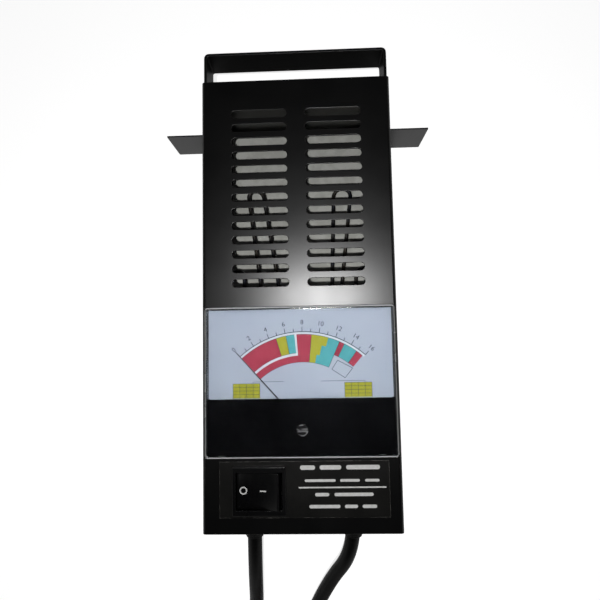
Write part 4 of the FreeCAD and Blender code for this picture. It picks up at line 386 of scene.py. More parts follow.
def plates(name: str, shapes: Iterable[Shape], low: float, high: float) -> Piece:
    """Thin plates of one thickness, such as a layer of print.

    Args:
        name: The piece's name.
        shapes: Each plate's outer outline and its holes.
        low: The height of their backs in millimetres.
        high: The height of their faces in millimetres.

    Returns:
        One object with all the plates.
    """
    bm = bmesh.new()
    for outlines in shapes:
        for level in (low, high):
            flat_face(bm, outlines, lambda point: mm(*point, level))
        for outline in outlines:
            strip(bm, [[mm(x, y, level) for x, y in outline] for level in (low, high)], closed=True)
    closed_up(bm, HAIR)
    return make_piece(name, bm, PRINT_SHARP)


# ---------------------------------------------------------------- finishes


class Board:
    """A node tree with short ways to add nodes and to join them."""

    def __init__(self, tree: bpy.types.NodeTree) -> None:
        """Keep the tree."""
        self.tree = tree

    def fill(self, node: Node, values: dict) -> None:
        """Set a node's inputs.

        Args:
            node: The node.
            values: Its inputs by name or number, each a value or a socket to link.
        """
        for key, value in values.items():
            if isinstance(value, Socket):
                self.tree.links.new(value, node.inputs[key])
            else:
                node.inputs[key].default_value = value

    def add(self, kind: str, values: dict | None = None, **settings: object) -> Node:
        """Add a node.

        Args:
            kind: The node's type.
            values: Its inputs by name or number, each a value or a socket to link.
            settings: Its other settings.

        Returns:
            The new node.
        """
        node = self.tree.nodes.new(kind)
        for key, value in settings.items():
            setattr(node, key, value)
        self.fill(node, values or {})
        return node

    def show(self, shader: Node, output: str = "Material Output") -> None:
        """Make a shader node what the surface shows."""
        self.fill(self.tree.nodes[output], {"Surface": shader.outputs[0]})

    def maths(self, operation: str, first: Socket | float, second: Socket | float) -> Socket:
        """The outcome of a sum of two values."""
        return self.add("ShaderNodeMath", {0: first, 1: second}, operation=operation).outputs[0]

    def blend(self, share: Socket, first: Socket | Colour, second: Socket | Colour) -> Socket:
        """A colour between two, by a share."""
        a, b = [end if isinstance(end, Socket) else (*end, 1.0) for end in (first, second)]
        return self.add("ShaderNodeMix", {0: share, 6: a, 7: b}, data_type="RGBA").outputs[2]

    def spread(self, value: Socket, low: Socket | float, high: Socket | float,
               to_low: float = 0.0, to_high: float = 1.0) -> Socket:
        """A value moved from one range to another, held within it."""
        values = {0: value, 1: low, 2: high, 3: to_low, 4: to_high}
        return self.add("ShaderNodeMapRange", values).outputs[0]

    def noise(self, scale: Socket, place: Socket | None = None, detail: float = 2.0) -> Socket:
        """Soft random values over the model's own coordinates.

        Args:
            scale: How fine they are.
            place: The coordinates, where they aren't the object's own.
            detail: How many finer layers they have.

        Returns:
            The values, from 0 to 1.
        """
        if place is None:
            place = self.add("ShaderNodeTexCoord").outputs["Object"]
        values = {"Vector": place, "Scale": scale, "Detail": detail}
        return self.add("ShaderNodeTexNoise", values).outputs[0]

    def bump(self, height: Socket, relief: float, under: Socket | None = None) -> Socket:
        """The normal of a bumpy surface.

        Args:
            height: The bumps, from 0 to 1.
            relief: How high they are in millimetres.
            under: The normal that they lie on, where it isn't the surface's own.

        Returns:
            The normal.
        """
        values = {"Height": height, "Distance": relief * MM}
        if under is not None:
            values["Normal"] = under
        return self.add("ShaderNodeBump", values).outputs[0]


def blank_material(name: str) -> tuple[Material, Board, Node]:
    """Make a plain material.

    Args:
        name: Its name.

    Returns:
        The material, its board and its Principled shader.
    """
    material = bpy.data.materials.new(name)
    material.use_nodes = True
    return material, Board(material.node_tree), material.node_tree.nodes["Principled BSDF"]


class ShaderKit:
    """The node groups that the finishes share, each built once."""

    WORN_PATCHES = (0.42, 0.62)
    FACING_UP = (0.3, 1.0)
    SPECKS = (0.45, 0.75)

    def __init__(self) -> None:
        """Build the groups."""
        self.clouds = self._group("clouds", {"Scale": 60.0, "Contrast": 2.0}, "Mask", self._clouds)
        self.grain = self._group(
            "paint_grain", {"Peel Scale": 700.0, "Grain Scale": 4000.0, "Grain Share": 0.5},
            "Height", self._grain)
        self.edges = self._group(
            "worn_edges", {"Width": 0.0004, "Gain": 3.0, "Patch Scale": 300.0}, "Mask", self._edges)
        self.dust = self._group(
            "settled_dust", {"Amount": 0.2, "Scale": 900.0}, "Mask", self._dust)
        self.lines = self._group(
            "brush_lines", {"Across": 3000.0, "Along X": 0.02, "Along Y": 1.0, "Along Z": 1.0},
            "Height", self._lines)

    @staticmethod
    def _group(name: str, inputs: dict[str, float], output: str,
               inside: Callable[[Board, dict[str, Socket]], Socket]) -> bpy.types.NodeTree:
        """Make one group with number inputs and one output.

        Args:
            name: The group's name.
            inputs: Its inputs with their usual values.
            output: The name of what it puts out.
            inside: Builds its inside from the inputs and gives back the outcome.

        Returns:
            The group's tree.
        """
        tree = bpy.data.node_groups.new(name, "ShaderNodeTree")
        number = {"socket_type": "NodeSocketFloat"}
        for key, value in inputs.items():
            tree.interface.new_socket(name=key, in_out="INPUT", **number).default_value = value
        tree.interface.new_socket(name=output, in_out="OUTPUT", **number)
        board = Board(tree)
        start = board.add("NodeGroupInput")
        made = inside(board, {key: start.outputs[key] for key in inputs})
        board.add("NodeGroupOutput", {output: made})
        return tree

    @staticmethod
    def _clouds(board: Board, given: dict[str, Socket]) -> Socket:
        """Large soft patches, whose edges are harder with more contrast.

        Args:
            board: The group's board.
            given: The group's inputs by name.

        Returns:
            How much of a patch it is, from 0 to 1.
        """
        reach = board.maths("DIVIDE", 0.25, given["Contrast"])
        noise = board.noise(given["Scale"], detail=4.0)
        low, high = board.maths("SUBTRACT", 0.5, reach), board.maths("ADD", 0.5, reach)
        return board.spread(noise, low, high)

    @staticmethod
    def _grain(board: Board, given: dict[str, Socket]) -> Socket:
        """Long ripples and a fine grain in one height.

        Args:
            board: The group's board.
            given: The group's inputs by name.

        Returns:
            The height, from 0 to 1.
        """
        ripples = board.noise(given["Peel Scale"], detail=1.0)
        fine = board.noise(given["Grain Scale"], detail=1.0)
        both = {0: given["Grain Share"], 2: ripples, 3: fine}
        return board.add("ShaderNodeMix", both, data_type="FLOAT").outputs[0]

    @staticmethod
    def _edges(board: Board, given: dict[str, Socket]) -> Socket:
        """Where edges stand out, broken up in patches: rubbed edges, and on some finishes a painted
        edge highlight.

        Args:
            board: The group's board.
            given: The group's inputs by name.

        Returns:
            How much the edge is lightened, from 0 to 1.
        """
        rounded = board.add("ShaderNodeBevel", {"Radius": given["Width"]}, samples=4).outputs[0]
        true = board.add("ShaderNodeNewGeometry").outputs["Normal"]
        alike = board.add("ShaderNodeVectorMath", {0: rounded, 1: true}, operation="DOT_PRODUCT")
        turn = board.maths("MULTIPLY", board.maths("SUBTRACT", 1.0, alike.outputs["Value"]),
                           given["Gain"])
        noise = board.noise(given["Patch Scale"], detail=5.0)
        values = {0: turn, 1: board.spread(noise, *ShaderKit.WORN_PATCHES)}
        return board.add("ShaderNodeMath", values, operation="MULTIPLY", use_clamp=True).outputs[0]

    @staticmethod
    def _dust(board: Board, given: dict[str, Socket]) -> Socket:
        """Fine dust on what faces up.

        Args:
            board: The group's board.
            given: The group's inputs by name.

        Returns:
            How dusty it is, from 0 to 1.
        """
        normal = board.add("ShaderNodeNewGeometry").outputs["Normal"]
        height = board.add("ShaderNodeSeparateXYZ", {0: normal}).outputs[2]
        up = board.spread(height, *ShaderKit.FACING_UP)
        specks = board.spread(board.noise(given["Scale"], detail=6.0), *ShaderKit.SPECKS)
        return board.maths("MULTIPLY", board.maths("MULTIPLY", up, specks), given["Amount"])

    @staticmethod
    def _lines(board: Board, given: dict[str, Socket]) -> Socket:
        """Long fine lines, drawn out along the axes with a small value.

        Args:
            board: The group's board.
            given: The group's inputs by name.

        Returns:
            The lines' height, from 0 to 1.
        """
        place = board.add("ShaderNodeTexCoord").outputs["Object"]
        along = board.add("ShaderNodeCombineXYZ",
                          {i: given[f"Along {axis}"] for i, axis in enumerate("XYZ")})
        drawn = board.add("ShaderNodeVectorMath", {0: place, 1: along.outputs[0]},
                          operation="MULTIPLY")
        return board.noise(given["Across"], drawn.outputs[0], 3.0)

    @staticmethod
    def use(board: Board, group: bpy.types.NodeTree, **values: float) -> Socket:
        """Place a group in a material.

        Args:
            board: The material's board.
            group: The group's tree.
            values: Its inputs, with underscores for spaces.

        Returns:
            What it puts out.
        """
        inputs = {key.replace("_", " "): value for key, value in values.items()}
        node = board.add("ShaderNodeGroup", node_tree=group)
        board.fill(node, inputs)
        return node.outputs[0]


BRUSHED = (0.35, 0.65)
RUBBED_AND_LIT_EDGE_GAIN = 6.0
RUBBED_AND_LIT_EDGE_PATCHES = 260.0
DUST_COLOUR = (0.34, 0.32, 0.29)
DUST_SCALE = 1400.0
DUST_ROUGHNESS = 0.5


@dataclass(frozen=True)
class Finish:
    """One finish: its colours, gloss, grain, rubbed edges with painted edge highlights, and dust.

    Attributes:
        name: The material's name.
        colour: The colour between the soft patches.
        second: The colour in the patches.
        rough: The roughness between the patches and in them.
        metallic: How metallic it is.
        specular: How strong its gloss is, where it isn't a metal.
        coat: How much clear varnish it has.
        coat_rough: The varnish's roughness.
        patches: How fine the soft patches are.
        contrast: How hard their edges are.
        peel: How fine the ripples are.
        grain: How fine the grain is.
        grain_share: The grain's share of the height, beside the ripples.
        relief: The height of ripples and grain in millimetres.
        brush: How fast the brush lines change along X, Y and Z, where it has them.
        brush_across: How fine they are.
        brush_relief: Their height in millimetres.
        brush_tint: How much of the second colour they take; on the gloss mask this paints
            reflection streaks.
        wear: How strongly its edges are lightened, by rubbing and, on some finishes, as a painted
            highlight.
        worn: The colour of those lightened edges.
        worn_width: How wide they are in millimetres.
        dust: How much dust lies on it.
    """

    name: str
    colour: Colour
    second: Colour
    rough: Flat
    metallic: float = 0.0
    specular: float = 0.5
    coat: float = 0.0
    coat_rough: float = 0.2
    patches: float = 60.0
    contrast: float = 1.5
    peel: float = 700.0
    grain: float = 4000.0
    grain_share: float = 0.5
    relief: float = 0.003
    brush: Point | None = None
    brush_across: float = 3000.0
    brush_relief: float = 0.002
    brush_tint: float = 0.0
    wear: float = 0.0
    # This default edge colour paints the label plate's edge highlight.
    worn: Colour = (0.3, 0.29, 0.27)
    worn_width: float = 0.35
    dust: float = 0.0

    def build(self, kit: ShaderKit) -> Material:
        """Make the material.

        Args:
            kit: The shared groups.

        Returns:
            The new material.
        """
        material, board, shader = blank_material(self.name)
        patches = kit.use(board, kit.clouds, Scale=self.patches, Contrast=self.contrast)
        colour = board.blend(patches, self.colour, self.second)
        rough = board.spread(patches, 0.0, 1.0, *self.rough)
        height = kit.use(board, kit.grain, Peel_Scale=self.peel, Grain_Scale=self.grain,
                         Grain_Share=self.grain_share)
        normal = board.bump(height, self.relief)
        if self.brush:
            along = dict(zip(("Along_X", "Along_Y", "Along_Z"), self.brush))
            lines = kit.use(board, kit.lines, Across=self.brush_across, **along)
            normal = board.bump(lines, self.brush_relief, normal)
            if self.brush_tint:
                share = board.spread(lines, *BRUSHED, 0.0, self.brush_tint)
                colour = board.blend(share, colour, self.second)
        if self.wear:
            edges = kit.use(board, kit.edges, Width=self.worn_width * MM,
                            Gain=RUBBED_AND_LIT_EDGE_GAIN * self.wear, Patch_Scale=RUBBED_AND_LIT_EDGE_PATCHES)
            colour = board.blend(edges, colour, self.worn)
        if self.dust:
            dust = kit.use(board, kit.dust, Amount=self.dust, Scale=DUST_SCALE)
            colour = board.blend(dust, colour, DUST_COLOUR)
            rough = board.maths("ADD", rough, board.maths("MULTIPLY", dust, DUST_ROUGHNESS))
        board.fill(shader, {
            "Base Color": colour, "Roughness": rough, "Normal": normal, "Metallic": self.metallic,
            "Specular IOR Level": self.specular, "Coat Weight": self.coat,
            "Coat Roughness": self.coat_rough})
        return material


@dataclass(frozen=True)
class ClearMoulding:
    """Clear moulded styrene with faint flow marks; its milky copies paint highlights on the meter
    cover's rim.

    Attributes:
        name: The material's name.
        tint: Its colour.
        milky: The share of light that it scatters instead of letting it through; the rim copies use
            it to paint highlights.
        rough: The roughness between its soft patches and in them.
        second: Its colour in the patches.
        shadow: The light that passes through it into its shadow.
        index: Its index of refraction.
        patches: How fine the patches are.
        contrast: How hard their edges are.
        flow: How fine the flow marks are.
        grain: How fine the grain is.
        grain_share: The grain's share of the height, beside the flow marks.
        relief: The height of both in millimetres.
    """

    name: str = "clear_plastic"
    tint: Colour = (0.97, 0.985, 0.99)
    milky: float = 0.0
    rough: Flat = (0.015, 0.05)
    second: Colour = (0.93, 0.955, 0.97)
    shadow: Colour = (0.93, 0.95, 0.96)
    index: float = 1.49
    patches: float = 45.0
    contrast: float = 1.2
    flow: float = 70.0
    grain: float = 900.0
    grain_share: float = 0.08
    relief: float = 0.01

    def build(self, kit: ShaderKit) -> Material:
        """Make the material.

        Args:
            kit: The shared groups.

        Returns:
            The new material. Light reaches what is behind it through its shadow rays.
        """
        material, board, shader = blank_material(self.name)
        patches = kit.use(board, kit.clouds, Scale=self.patches, Contrast=self.contrast)
        flow = kit.use(board, kit.grain, Peel_Scale=self.flow, Grain_Scale=self.grain,
                       Grain_Share=self.grain_share)
        board.fill(shader, {
            "Base Color": board.blend(patches, self.tint, self.second),
            "Roughness": board.spread(patches, 0.0, 1.0, *self.rough),
            "Normal": board.bump(flow, self.relief), "Metallic": 0.0,
            "Transmission Weight": 1.0 - self.milky, "IOR": self.index})
        shadow_ray = board.add("ShaderNodeLightPath").outputs["Is Shadow Ray"]
        clear = board.add("ShaderNodeBsdfTransparent", {"Color": (*self.shadow, 1.0)})
        board.show(board.add("ShaderNodeMixShader", {
            0: shadow_ray, 1: shader.outputs[0], 2: clear.outputs[0]}))
        return material


def print_ink(ink: Ink, colour: Colour, second: Colour, patches: float = 200.0) -> Finish:
    """A matt printing ink with plain edges."""
    return Finish(ink.value, colour, second, rough=(0.6, 0.7), specular=0.15, patches=patches,
                  relief=0.001)


FINISHES = (
    # Its light edges are partly paint rubbed thin and partly a painted highlight: the lit rims of
    # the vent slots.
    Finish("black_paint", (0.0005, 0.0005, 0.0005), (0.001, 0.001, 0.0009), (0.295, 0.315),
           specular=0.85, peel=620.0, grain=5200.0, grain_share=0.35, relief=0.0025,
           wear=0.5, worn=(0.13, 0.125, 0.11), worn_width=0.3, dust=0.002),
    Finish("strap_paint", (0.0007, 0.0007, 0.0007), (0.0014, 0.0013, 0.0012), (0.4, 0.46),
           specular=0.45, peel=500.0, relief=0.005, wear=0.5, worn=(0.14, 0.13, 0.115),
           dust=0.003),
    Finish("blackened_steel", (0.02, 0.02, 0.021), (0.036, 0.035, 0.033), (0.38, 0.55),
           metallic=0.7, patches=500.0, wear=0.5, worn=(0.42, 0.4, 0.37), dust=0.03),
    # The light line along the label plate's edges is a painted highlight, in the default edge
    # colour and width.
    Finish("label_print", (0.0022, 0.0021, 0.0016), (0.0034, 0.0031, 0.0024), (0.4, 0.46),
           peel=900.0, grain=6000.0, relief=0.002, brush=(1.0, 0.03, 1.0), brush_across=2600.0,
           brush_relief=0.0006, wear=1.4, dust=0.012),
    Finish("label_ink", (0.86, 0.86, 0.85), (0.74, 0.74, 0.72), (0.5, 0.62), patches=400.0,
           relief=0.001),
    # The light line along the mask's upper edge is a painted highlight, and the lighter vertical
    # lines are painted reflection streaks.
    Finish("black_gloss", (0.0006, 0.0006, 0.0008), (0.0026, 0.0026, 0.0031), (0.07, 0.12),
           patches=38.0, contrast=2.5, peel=120.0, grain=2500.0, grain_share=0.06, relief=0.004,
           brush=(1.0, 0.015, 1.0), brush_across=260.0, brush_relief=0.006, brush_tint=0.7,
           wear=0.7, worn=(0.22, 0.22, 0.25), worn_width=0.3, dust=0.004),
    Finish("dial_white", (0.4, 0.432, 0.508), (0.38, 0.408, 0.482), (0.6, 0.7), specular=0.15,
           patches=25.0, peel=1500.0, relief=0.001),
    print_ink(Ink.BLACK, (0.03, 0.04, 0.055), (0.05, 0.06, 0.075), 900.0),
    print_ink(Ink.RED, (0.34, 0.038, 0.066), (0.3, 0.031, 0.056)),
    print_ink(Ink.YELLOW, (0.345, 0.335, 0.03), (0.315, 0.305, 0.026)),
    print_ink(Ink.TEAL, (0.08, 0.34, 0.36), (0.07, 0.31, 0.33)),
    print_ink(Ink.WHITE, (0.6, 0.63, 0.67), (0.57, 0.6, 0.64)),
    Finish("black_plastic", (0.008, 0.008, 0.009), (0.013, 0.013, 0.014), (0.4, 0.52),
           peel=400.0, grain=7000.0, relief=0.004, dust=0.05),
    # Its light grey edges are a painted glint on the zero screw.
    Finish("adjuster_black", (0.014, 0.014, 0.016), (0.022, 0.022, 0.024), (0.14, 0.2),
           specular=1.0, peel=900.0, relief=0.004, wear=1.0, worn=(0.42, 0.42, 0.44),
           worn_width=0.45),
    Finish("switch_black", (0.0014, 0.0014, 0.0016), (0.0024, 0.0024, 0.0027), (0.26, 0.34),
           peel=800.0, grain=9000.0, grain_share=0.6, wear=0.3, worn=(0.05, 0.05, 0.055),
           dust=0.01),
    Finish("white_nylon", (0.8, 0.79, 0.74), (0.74, 0.72, 0.66), (0.4, 0.5), patches=300.0,
           relief=0.002),
    Finish("zinc_steel", (0.84, 0.845, 0.79), (0.72, 0.725, 0.67), (0.5, 0.64), specular=0.15,
           patches=110.0, contrast=3.0, brush=(0.03, 1.0, 1.0), brush_across=2200.0,
           brush_relief=0.001, dust=0.05),
    Finish("dark_steel", (0.33, 0.33, 0.34), (0.24, 0.24, 0.25), (0.3, 0.45), metallic=1.0,
           patches=300.0, brush=(1.0, 1.0, 0.05), brush_relief=0.001),
    Finish("spring_steel", (0.42, 0.41, 0.4), (0.3, 0.29, 0.28), (0.28, 0.42), metallic=1.0,
           patches=500.0, brush=(1.0, 1.0, 0.3), brush_relief=0.0008, dust=0.02),
    Finish("plated_jaw", (0.74, 0.73, 0.7), (0.64, 0.63, 0.6), (0.28, 0.4), metallic=0.25,
           patches=45.0, contrast=1.4, brush=(0.2, 0.05, 1.0), brush_across=2600.0,
           brush_relief=0.001, relief=0.002, wear=0.3, worn=(0.84, 0.82, 0.78), dust=0.02),
    Finish("brass", (0.76, 0.58, 0.28), (0.6, 0.42, 0.18), (0.25, 0.42), metallic=1.0,
           patches=220.0, contrast=2.0, brush=(1.0, 0.08, 1.0), brush_relief=0.001,
           wear=0.3, worn=(0.88, 0.74, 0.44), dust=0.03),
    Finish("bronze_spring", (0.7, 0.46, 0.24), (0.55, 0.34, 0.17), (0.25, 0.35), metallic=1.0,
           patches=600.0),
    Finish("copper_wire", (0.62, 0.26, 0.12), (0.45, 0.15, 0.07), (0.25, 0.38), metallic=0.7,
           coat=0.6, patches=500.0, brush=(1.0, 1.0, 0.02), brush_across=5000.0,
           brush_relief=0.02, brush_tint=0.6),
    Finish("needle_black", (0.006, 0.006, 0.007), (0.01, 0.01, 0.011), (0.5, 0.6),
           patches=600.0, relief=0.001),
    Finish("resistance_wire", (0.075, 0.066, 0.056), (0.032, 0.035, 0.048), (0.42, 0.62),
           metallic=0.8, patches=90.0, contrast=3.0, peel=1200.0, relief=0.008, dust=0.03),
    Finish("insulation_board", (0.34, 0.19, 0.1), (0.23, 0.125, 0.065), (0.5, 0.65),
           patches=90.0, brush=(0.02, 1.0, 1.0), brush_across=1800.0, brush_relief=0.006,
           brush_tint=0.45, dust=0.12),
    Finish("lead_black", (0.0009, 0.0009, 0.001), (0.0016, 0.0016, 0.0017), (0.36, 0.46),
           specular=0.3, patches=70.0, peel=260.0, grain=5000.0, grain_share=0.3, relief=0.006,
           dust=0.02),
    Finish("grommet_rubber", (0.005, 0.005, 0.0052), (0.009, 0.009, 0.0092), (0.5, 0.62),
           peel=500.0, relief=0.006, dust=0.04),
    Finish("black_vinyl", (0.004, 0.004, 0.0043), (0.007, 0.0067, 0.0067), (0.3, 0.4),
           patches=90.0, peel=300.0, grain=4200.0, relief=0.006, wear=0.15,
           worn=(0.04, 0.04, 0.042), dust=0.03),
    Finish("red_vinyl", (0.56, 0.02, 0.018), (0.47, 0.014, 0.013), (0.3, 0.4), patches=90.0,
           peel=300.0, grain=4200.0, relief=0.006, wear=0.15, worn=(0.6, 0.08, 0.06), dust=0.02),
)

# Milky copies of the clear plastic for the cover's rounded rim: painted highlights, bright on the
# top and bottom and dimmer on the sides.
CLEAR_PARTS = (
    ClearMoulding(),
    ClearMoulding("clear_rim", (0.97, 0.96, 1.0), 0.92, (0.2, 0.3)),
    ClearMoulding("clear_side", (0.8, 0.79, 0.76), 0.35, (0.2, 0.3)),
)


class Wardrobe:
    """Every finish as a material, by name."""

    def __init__(self) -> None:
        """Build all the materials."""
        kit = ShaderKit()
        finishes = (*FINISHES, *CLEAR_PARTS)
        self.materials = {finish.name: finish.build(kit) for finish in finishes}

    def __getitem__(self, name: str) -> Material:
        """The material of that name."""
        return self.materials[name]

    def put_on(self, piece: Piece, name: str, body: str = TESTER, slot: str | None = None,
               *nodes: str) -> Piece:
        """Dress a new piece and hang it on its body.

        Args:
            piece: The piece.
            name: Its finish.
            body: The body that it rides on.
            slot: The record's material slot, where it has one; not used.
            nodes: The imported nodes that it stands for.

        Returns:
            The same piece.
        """
        dress(piece, self[name])
        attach(piece, body)
        if nodes:
            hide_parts(*nodes)
        log.info("%s: %s on %s", piece.name, name, body)
        return piece


# ---------------------------------------------------------------- case


@dataclass
class CaseShell:
    """The bent front cover with its vents, window, switch opening and side tabs."""

    half_width: float = 57.5
    half_length: float = 134.75
    depth: float = 75.0
    sheet: float = 0.9
    bend: float = 2.0
    bend_steps: int = 8
    edge_round: float = 0.24
    slot: Flat = (34.0, 4.8)
    slot_steps: int = 10
    slot_rows: int = 13
    slot_first: float = 113.5
    slot_pitch: float = 8.67
    slot_x: float = 22.5
    window_low: Flat = (-56.0, -92.3)
    window_high: Flat = (56.0, -4.8)
    window_corner: float = 0.6
    window_gap: float = 0.001
    switch_low: Flat = (-38.8, -122.25)
    switch_high: Flat = (-10.2, -98.25)
    switch_corner: float = 0.5
    tab_y: float = 107.7
    tab_reach: float = 26.1
    tab_z: Flat = (32.0, 61.0)
    tab_relief: float = 0.6
    tab_bend: float = 1.0
    tab_steps: int = 6
    tab_corner: float = 0.8

    def slots(self) -> list[Outline]:
        """Lay out the vent slots in two columns.

        Returns:
            The outline of each slot, with round ends.
        """
        reach, end = (self.slot[0] - self.slot[1]) / 2, self.slot[1] / 2
        outlines = []
        for x in (-self.slot_x, self.slot_x):
            for row in range(self.slot_rows):
                y = self.slot_first - row * self.slot_pitch
                outlines.append(arc((x + reach, y), end, -90, 90, self.slot_steps)
                                + arc((x - reach, y), end, 90, 270, self.slot_steps))
        return outlines

    def face(self, bm: Mesh) -> None:
        """The front face with all its openings.

        Args:
            bm: The mesh.
        """
        x, y = self.half_width - self.bend, self.half_length
        side = x - self.window_gap
        window = rounded_outline((max(self.window_low[0], -side), self.window_low[1]),
                                 (min(self.window_high[0], side), self.window_high[1]),
                                 self.window_corner, 3)
        switch = rounded_outline(self.switch_low, self.switch_high, self.switch_corner, 3)
        outer = [(-x, -y), (x, -y), (x, y), (-x, y)]
        flat_face(bm, [outer, window, switch, *self.slots()], lambda spot: mm(*spot, self.depth))

    def side(self, bm: Mesh, way: int) -> None:
        """One bend, its side wall and the tab that is lanced out of it.

        Args:
            bm: The mesh.
            way: 1 for the +X side, -1 for the other.
        """
        y, low = self.half_length, self.depth - self.bend
        turn = arc((self.half_width - self.bend, low), self.bend, 90, 0, self.bend_steps)
        strip(bm, [[mm(way * a, -y, z), mm(way * a, y, z)] for a, z in turn])
        relief, root, far = self.tab_relief, self.tab_y + self.tab_bend, self.tab_y - self.tab_reach
        z0, z1 = self.tab_z
        hole = [(far, z0 - relief), (root + relief, z0 - relief), (root + relief, z0), (root, z0),
                (root, z1), (root + relief, z1), (root + relief, z1 + relief), (far, z1 + relief)]
        wall = [(-y, 0.0), (y, 0.0), (y, low), (-y, low)]
        flat_face(bm, [wall, hole], lambda spot: mm(way * self.half_width, *spot))
        tip, neck = self.half_width + self.tab_reach, self.half_width + self.tab_bend
        fold = arc((neck, root), self.tab_bend, 180, 270, self.tab_steps)
        strip(bm, [[mm(way * a, b, z0), mm(way * a, b, z1)] for a, b in fold])
        corner = self.tab_corner
        blade = [(neck, z0), *arc((tip - corner, z0 + corner), corner, -90, 0, 4),
                 *arc((tip - corner, z1 - corner), corner, 0, 90, 4), (neck, z1)]
        flat_face(bm, [blade], lambda spot: mm(way * spot[0], self.tab_y, spot[1]))

    def build(self, wardrobe: Wardrobe) -> None:
        """Make the cover.

        Args:
            wardrobe: The finishes.
        """
        bm = bmesh.new()
        self.face(bm)
        for way in (-1, 1):
            self.side(bm, way)
        joined(bm, FORWARD)
        cover = make_piece("cover_sheet", bm, SHEET_SHARP)
        thicken(cover, self.sheet)
        soften(cover, self.edge_round, *SHEET_EDGE)
        wardrobe.put_on(cover, "black_paint", TESTER, "black_paint", "front_cover")


@dataclass
class StrapHandle:
    """The bent strip handle and the rivets in its legs."""

    out: float = 56.55
    top: float = 154.45
    foot: float = 110.75
    thick: float = 1.8
    edge_round: float = 0.45
    bend: float = 3.0
    bend_steps: int = 10
    low: float = 53.5
    high: float = 73.0
    side: float = 57.5
    rivet_y: Flat = (127.75, 117.75)
    rivet_z: float = 63.25
    rivet: Outline = (
        (0.0, 1.2), (0.9, 1.16), (1.7, 1.0), (2.4, 0.72), (2.9, 0.38), (3.15, 0.1), (3.2, 0.0),
        (1.6, 0.0), (1.6, -2.75), (2.4, -2.75), (2.3, -3.2), (1.9, -3.35), (0.0, -3.35))
    rivet_steps: int = 32

    def build(self, wardrobe: Wardrobe) -> None:
        """Make the strap and its rivets.

        Args:
            wardrobe: The finishes.
        """
        x, y = self.out - self.bend, self.top - self.bend
        path = [(-self.out, self.foot), *arc((-x, y), self.bend, 180, 90, self.bend_steps),
                *arc((x, y), self.bend, 90, 0, self.bend_steps), (self.out, self.foot)]
        bm = bmesh.new()
        strip(bm, [[mm(*spot, self.low), mm(*spot, self.high)] for spot in path])
        joined(bm, UPWARD)
        strap = make_piece("strap", bm, SHEET_SHARP)
        thicken(strap, self.thick)
        soften(strap, self.edge_round, *SHEET_EDGE)
        wardrobe.put_on(strap, "strap_paint", TESTER, "black_paint", "handle_strap")
        spots = [standing((way * self.side, y, self.rivet_z), (way, 0, 0))
                 for way in (-1, 1) for y in self.rivet_y]
        rivets = turned("strap_rivets", self.rivet, spots, self.rivet_steps)
        wardrobe.put_on(rivets, "blackened_steel", TESTER, "blackened_steel", "handle_rivets")


@dataclass
class SwitchLabel:
    """The print on the plate round the switch: a rule and plain strips, with no lettering."""

    level: float = 75.4
    ink: float = 0.03
    rule: tuple[Flat, Flat] = ((-2.0, -109.15), (48.0, -108.35))
    rule_corner: float = 0.2
    strip_roundness: float = 0.45
    strip_rows: tuple[tuple[float, float, tuple[Flat, ...]], ...] = (
        (-97.6, 2.5, ((-1.0, 7.6), (10.3, 22.6), (25.4, 44.6))),
        (-104.9, 1.5, ((1.6, 19.2), (21.8, 33.0), (36.0, 44.2))),
        (-112.7, 1.9, ((7.4, 15.4), (18.4, 40.6))),
        (-119.3, 1.9, ((4.0, 21.6), (24.2, 31.6), (34.2, 42.4))),
    )

    def build(self, wardrobe: Wardrobe) -> None:
        """Make the print.

        Args:
            wardrobe: The finishes.
        """
        shapes = [[rounded_outline(*self.rule, self.rule_corner, 2)]]
        for y, tall, marks in self.strip_rows:
            shapes += [[rounded_outline((x0, y - tall / 2), (x1, y + tall / 2),
                                        self.strip_roundness * tall, 4)] for x0, x1 in marks]
        strips = plates("label_strips", shapes, self.level - self.ink, self.level + self.ink)
        wardrobe.put_on(strips, "label_ink")


# ---------------------------------------------------------------- meter


@dataclass
class MeterFront:
    """The meter's clear moulded cover, with painted highlights along its rounded rim."""

    low: Flat = (-56.0, -92.3)
    high: Flat = (56.0, -4.8)
    back: float = 70.05
    front: float = 76.2
    wall: float = 1.3
    rounding: float = 1.3
    rounding_steps: int = 5
    corner: float = 1.9
    corner_steps: int = 6
    sharp: float = 60.0
    bore: Point = (0.8, -76.3, 2.46)
    rim_slopes: Flat = (0.15, 0.96)
    rim_slack: float = 0.01

    def rim(self, z: float, inset: float) -> list[Vector]:
        """The cover's outline at one height.

        Args:
            z: The height in millimetres.
            inset: How far the outline is drawn in.

        Returns:
            Its points.
        """
        outline = rounded_outline((self.low[0] + inset, self.low[1] + inset),
                                  (self.high[0] - inset, self.high[1] - inset),
                                  self.corner - inset, self.corner_steps)
        return [mm(x, y, z) for x, y in outline]

    def build(self, wardrobe: Wardrobe) -> None:
        """Make the cover.

        Args:
            wardrobe: The finishes.
        """
        foot = self.front - self.rounding
        rings = [self.rim(self.back, 0.0)]
        for i in range(self.rounding_steps + 1):
            angle = math.radians(90 * i / self.rounding_steps)
            rings.append(self.rim(foot + self.rounding * math.sin(angle),
                                  self.rounding * (1 - math.cos(angle))))
        bm = bmesh.new()
        strip(bm, rings, closed=True)
        cap(bm, rings[-1])
        joined(bm, FORWARD)
        cover = make_piece("clear_cover", bm, self.sharp)
        thicken(cover, self.wall)
        settle(cover)
        drill(cover, self.bore)
        even_out(cover)
        wardrobe.put_on(cover, "clear_plastic", TESTER, "clear_plastic", "meter_cover")
        for name in ("clear_rim", "clear_side"):
            cover.data.materials.append(wardrobe[name])
        # The rim's faces take the milky copies by the way they face: painted highlights, brighter
        # on top and bottom than on the sides.
        flat, steep = self.rim_slopes
        for face in cover.data.polygons:
            height = cover.data.vertices[face.vertices[0]].co.z / MM
            if flat < face.normal.z < steep and height > foot - self.rim_slack:
                face.material_index = 1 if abs(face.normal.y) > abs(face.normal.x) else 2


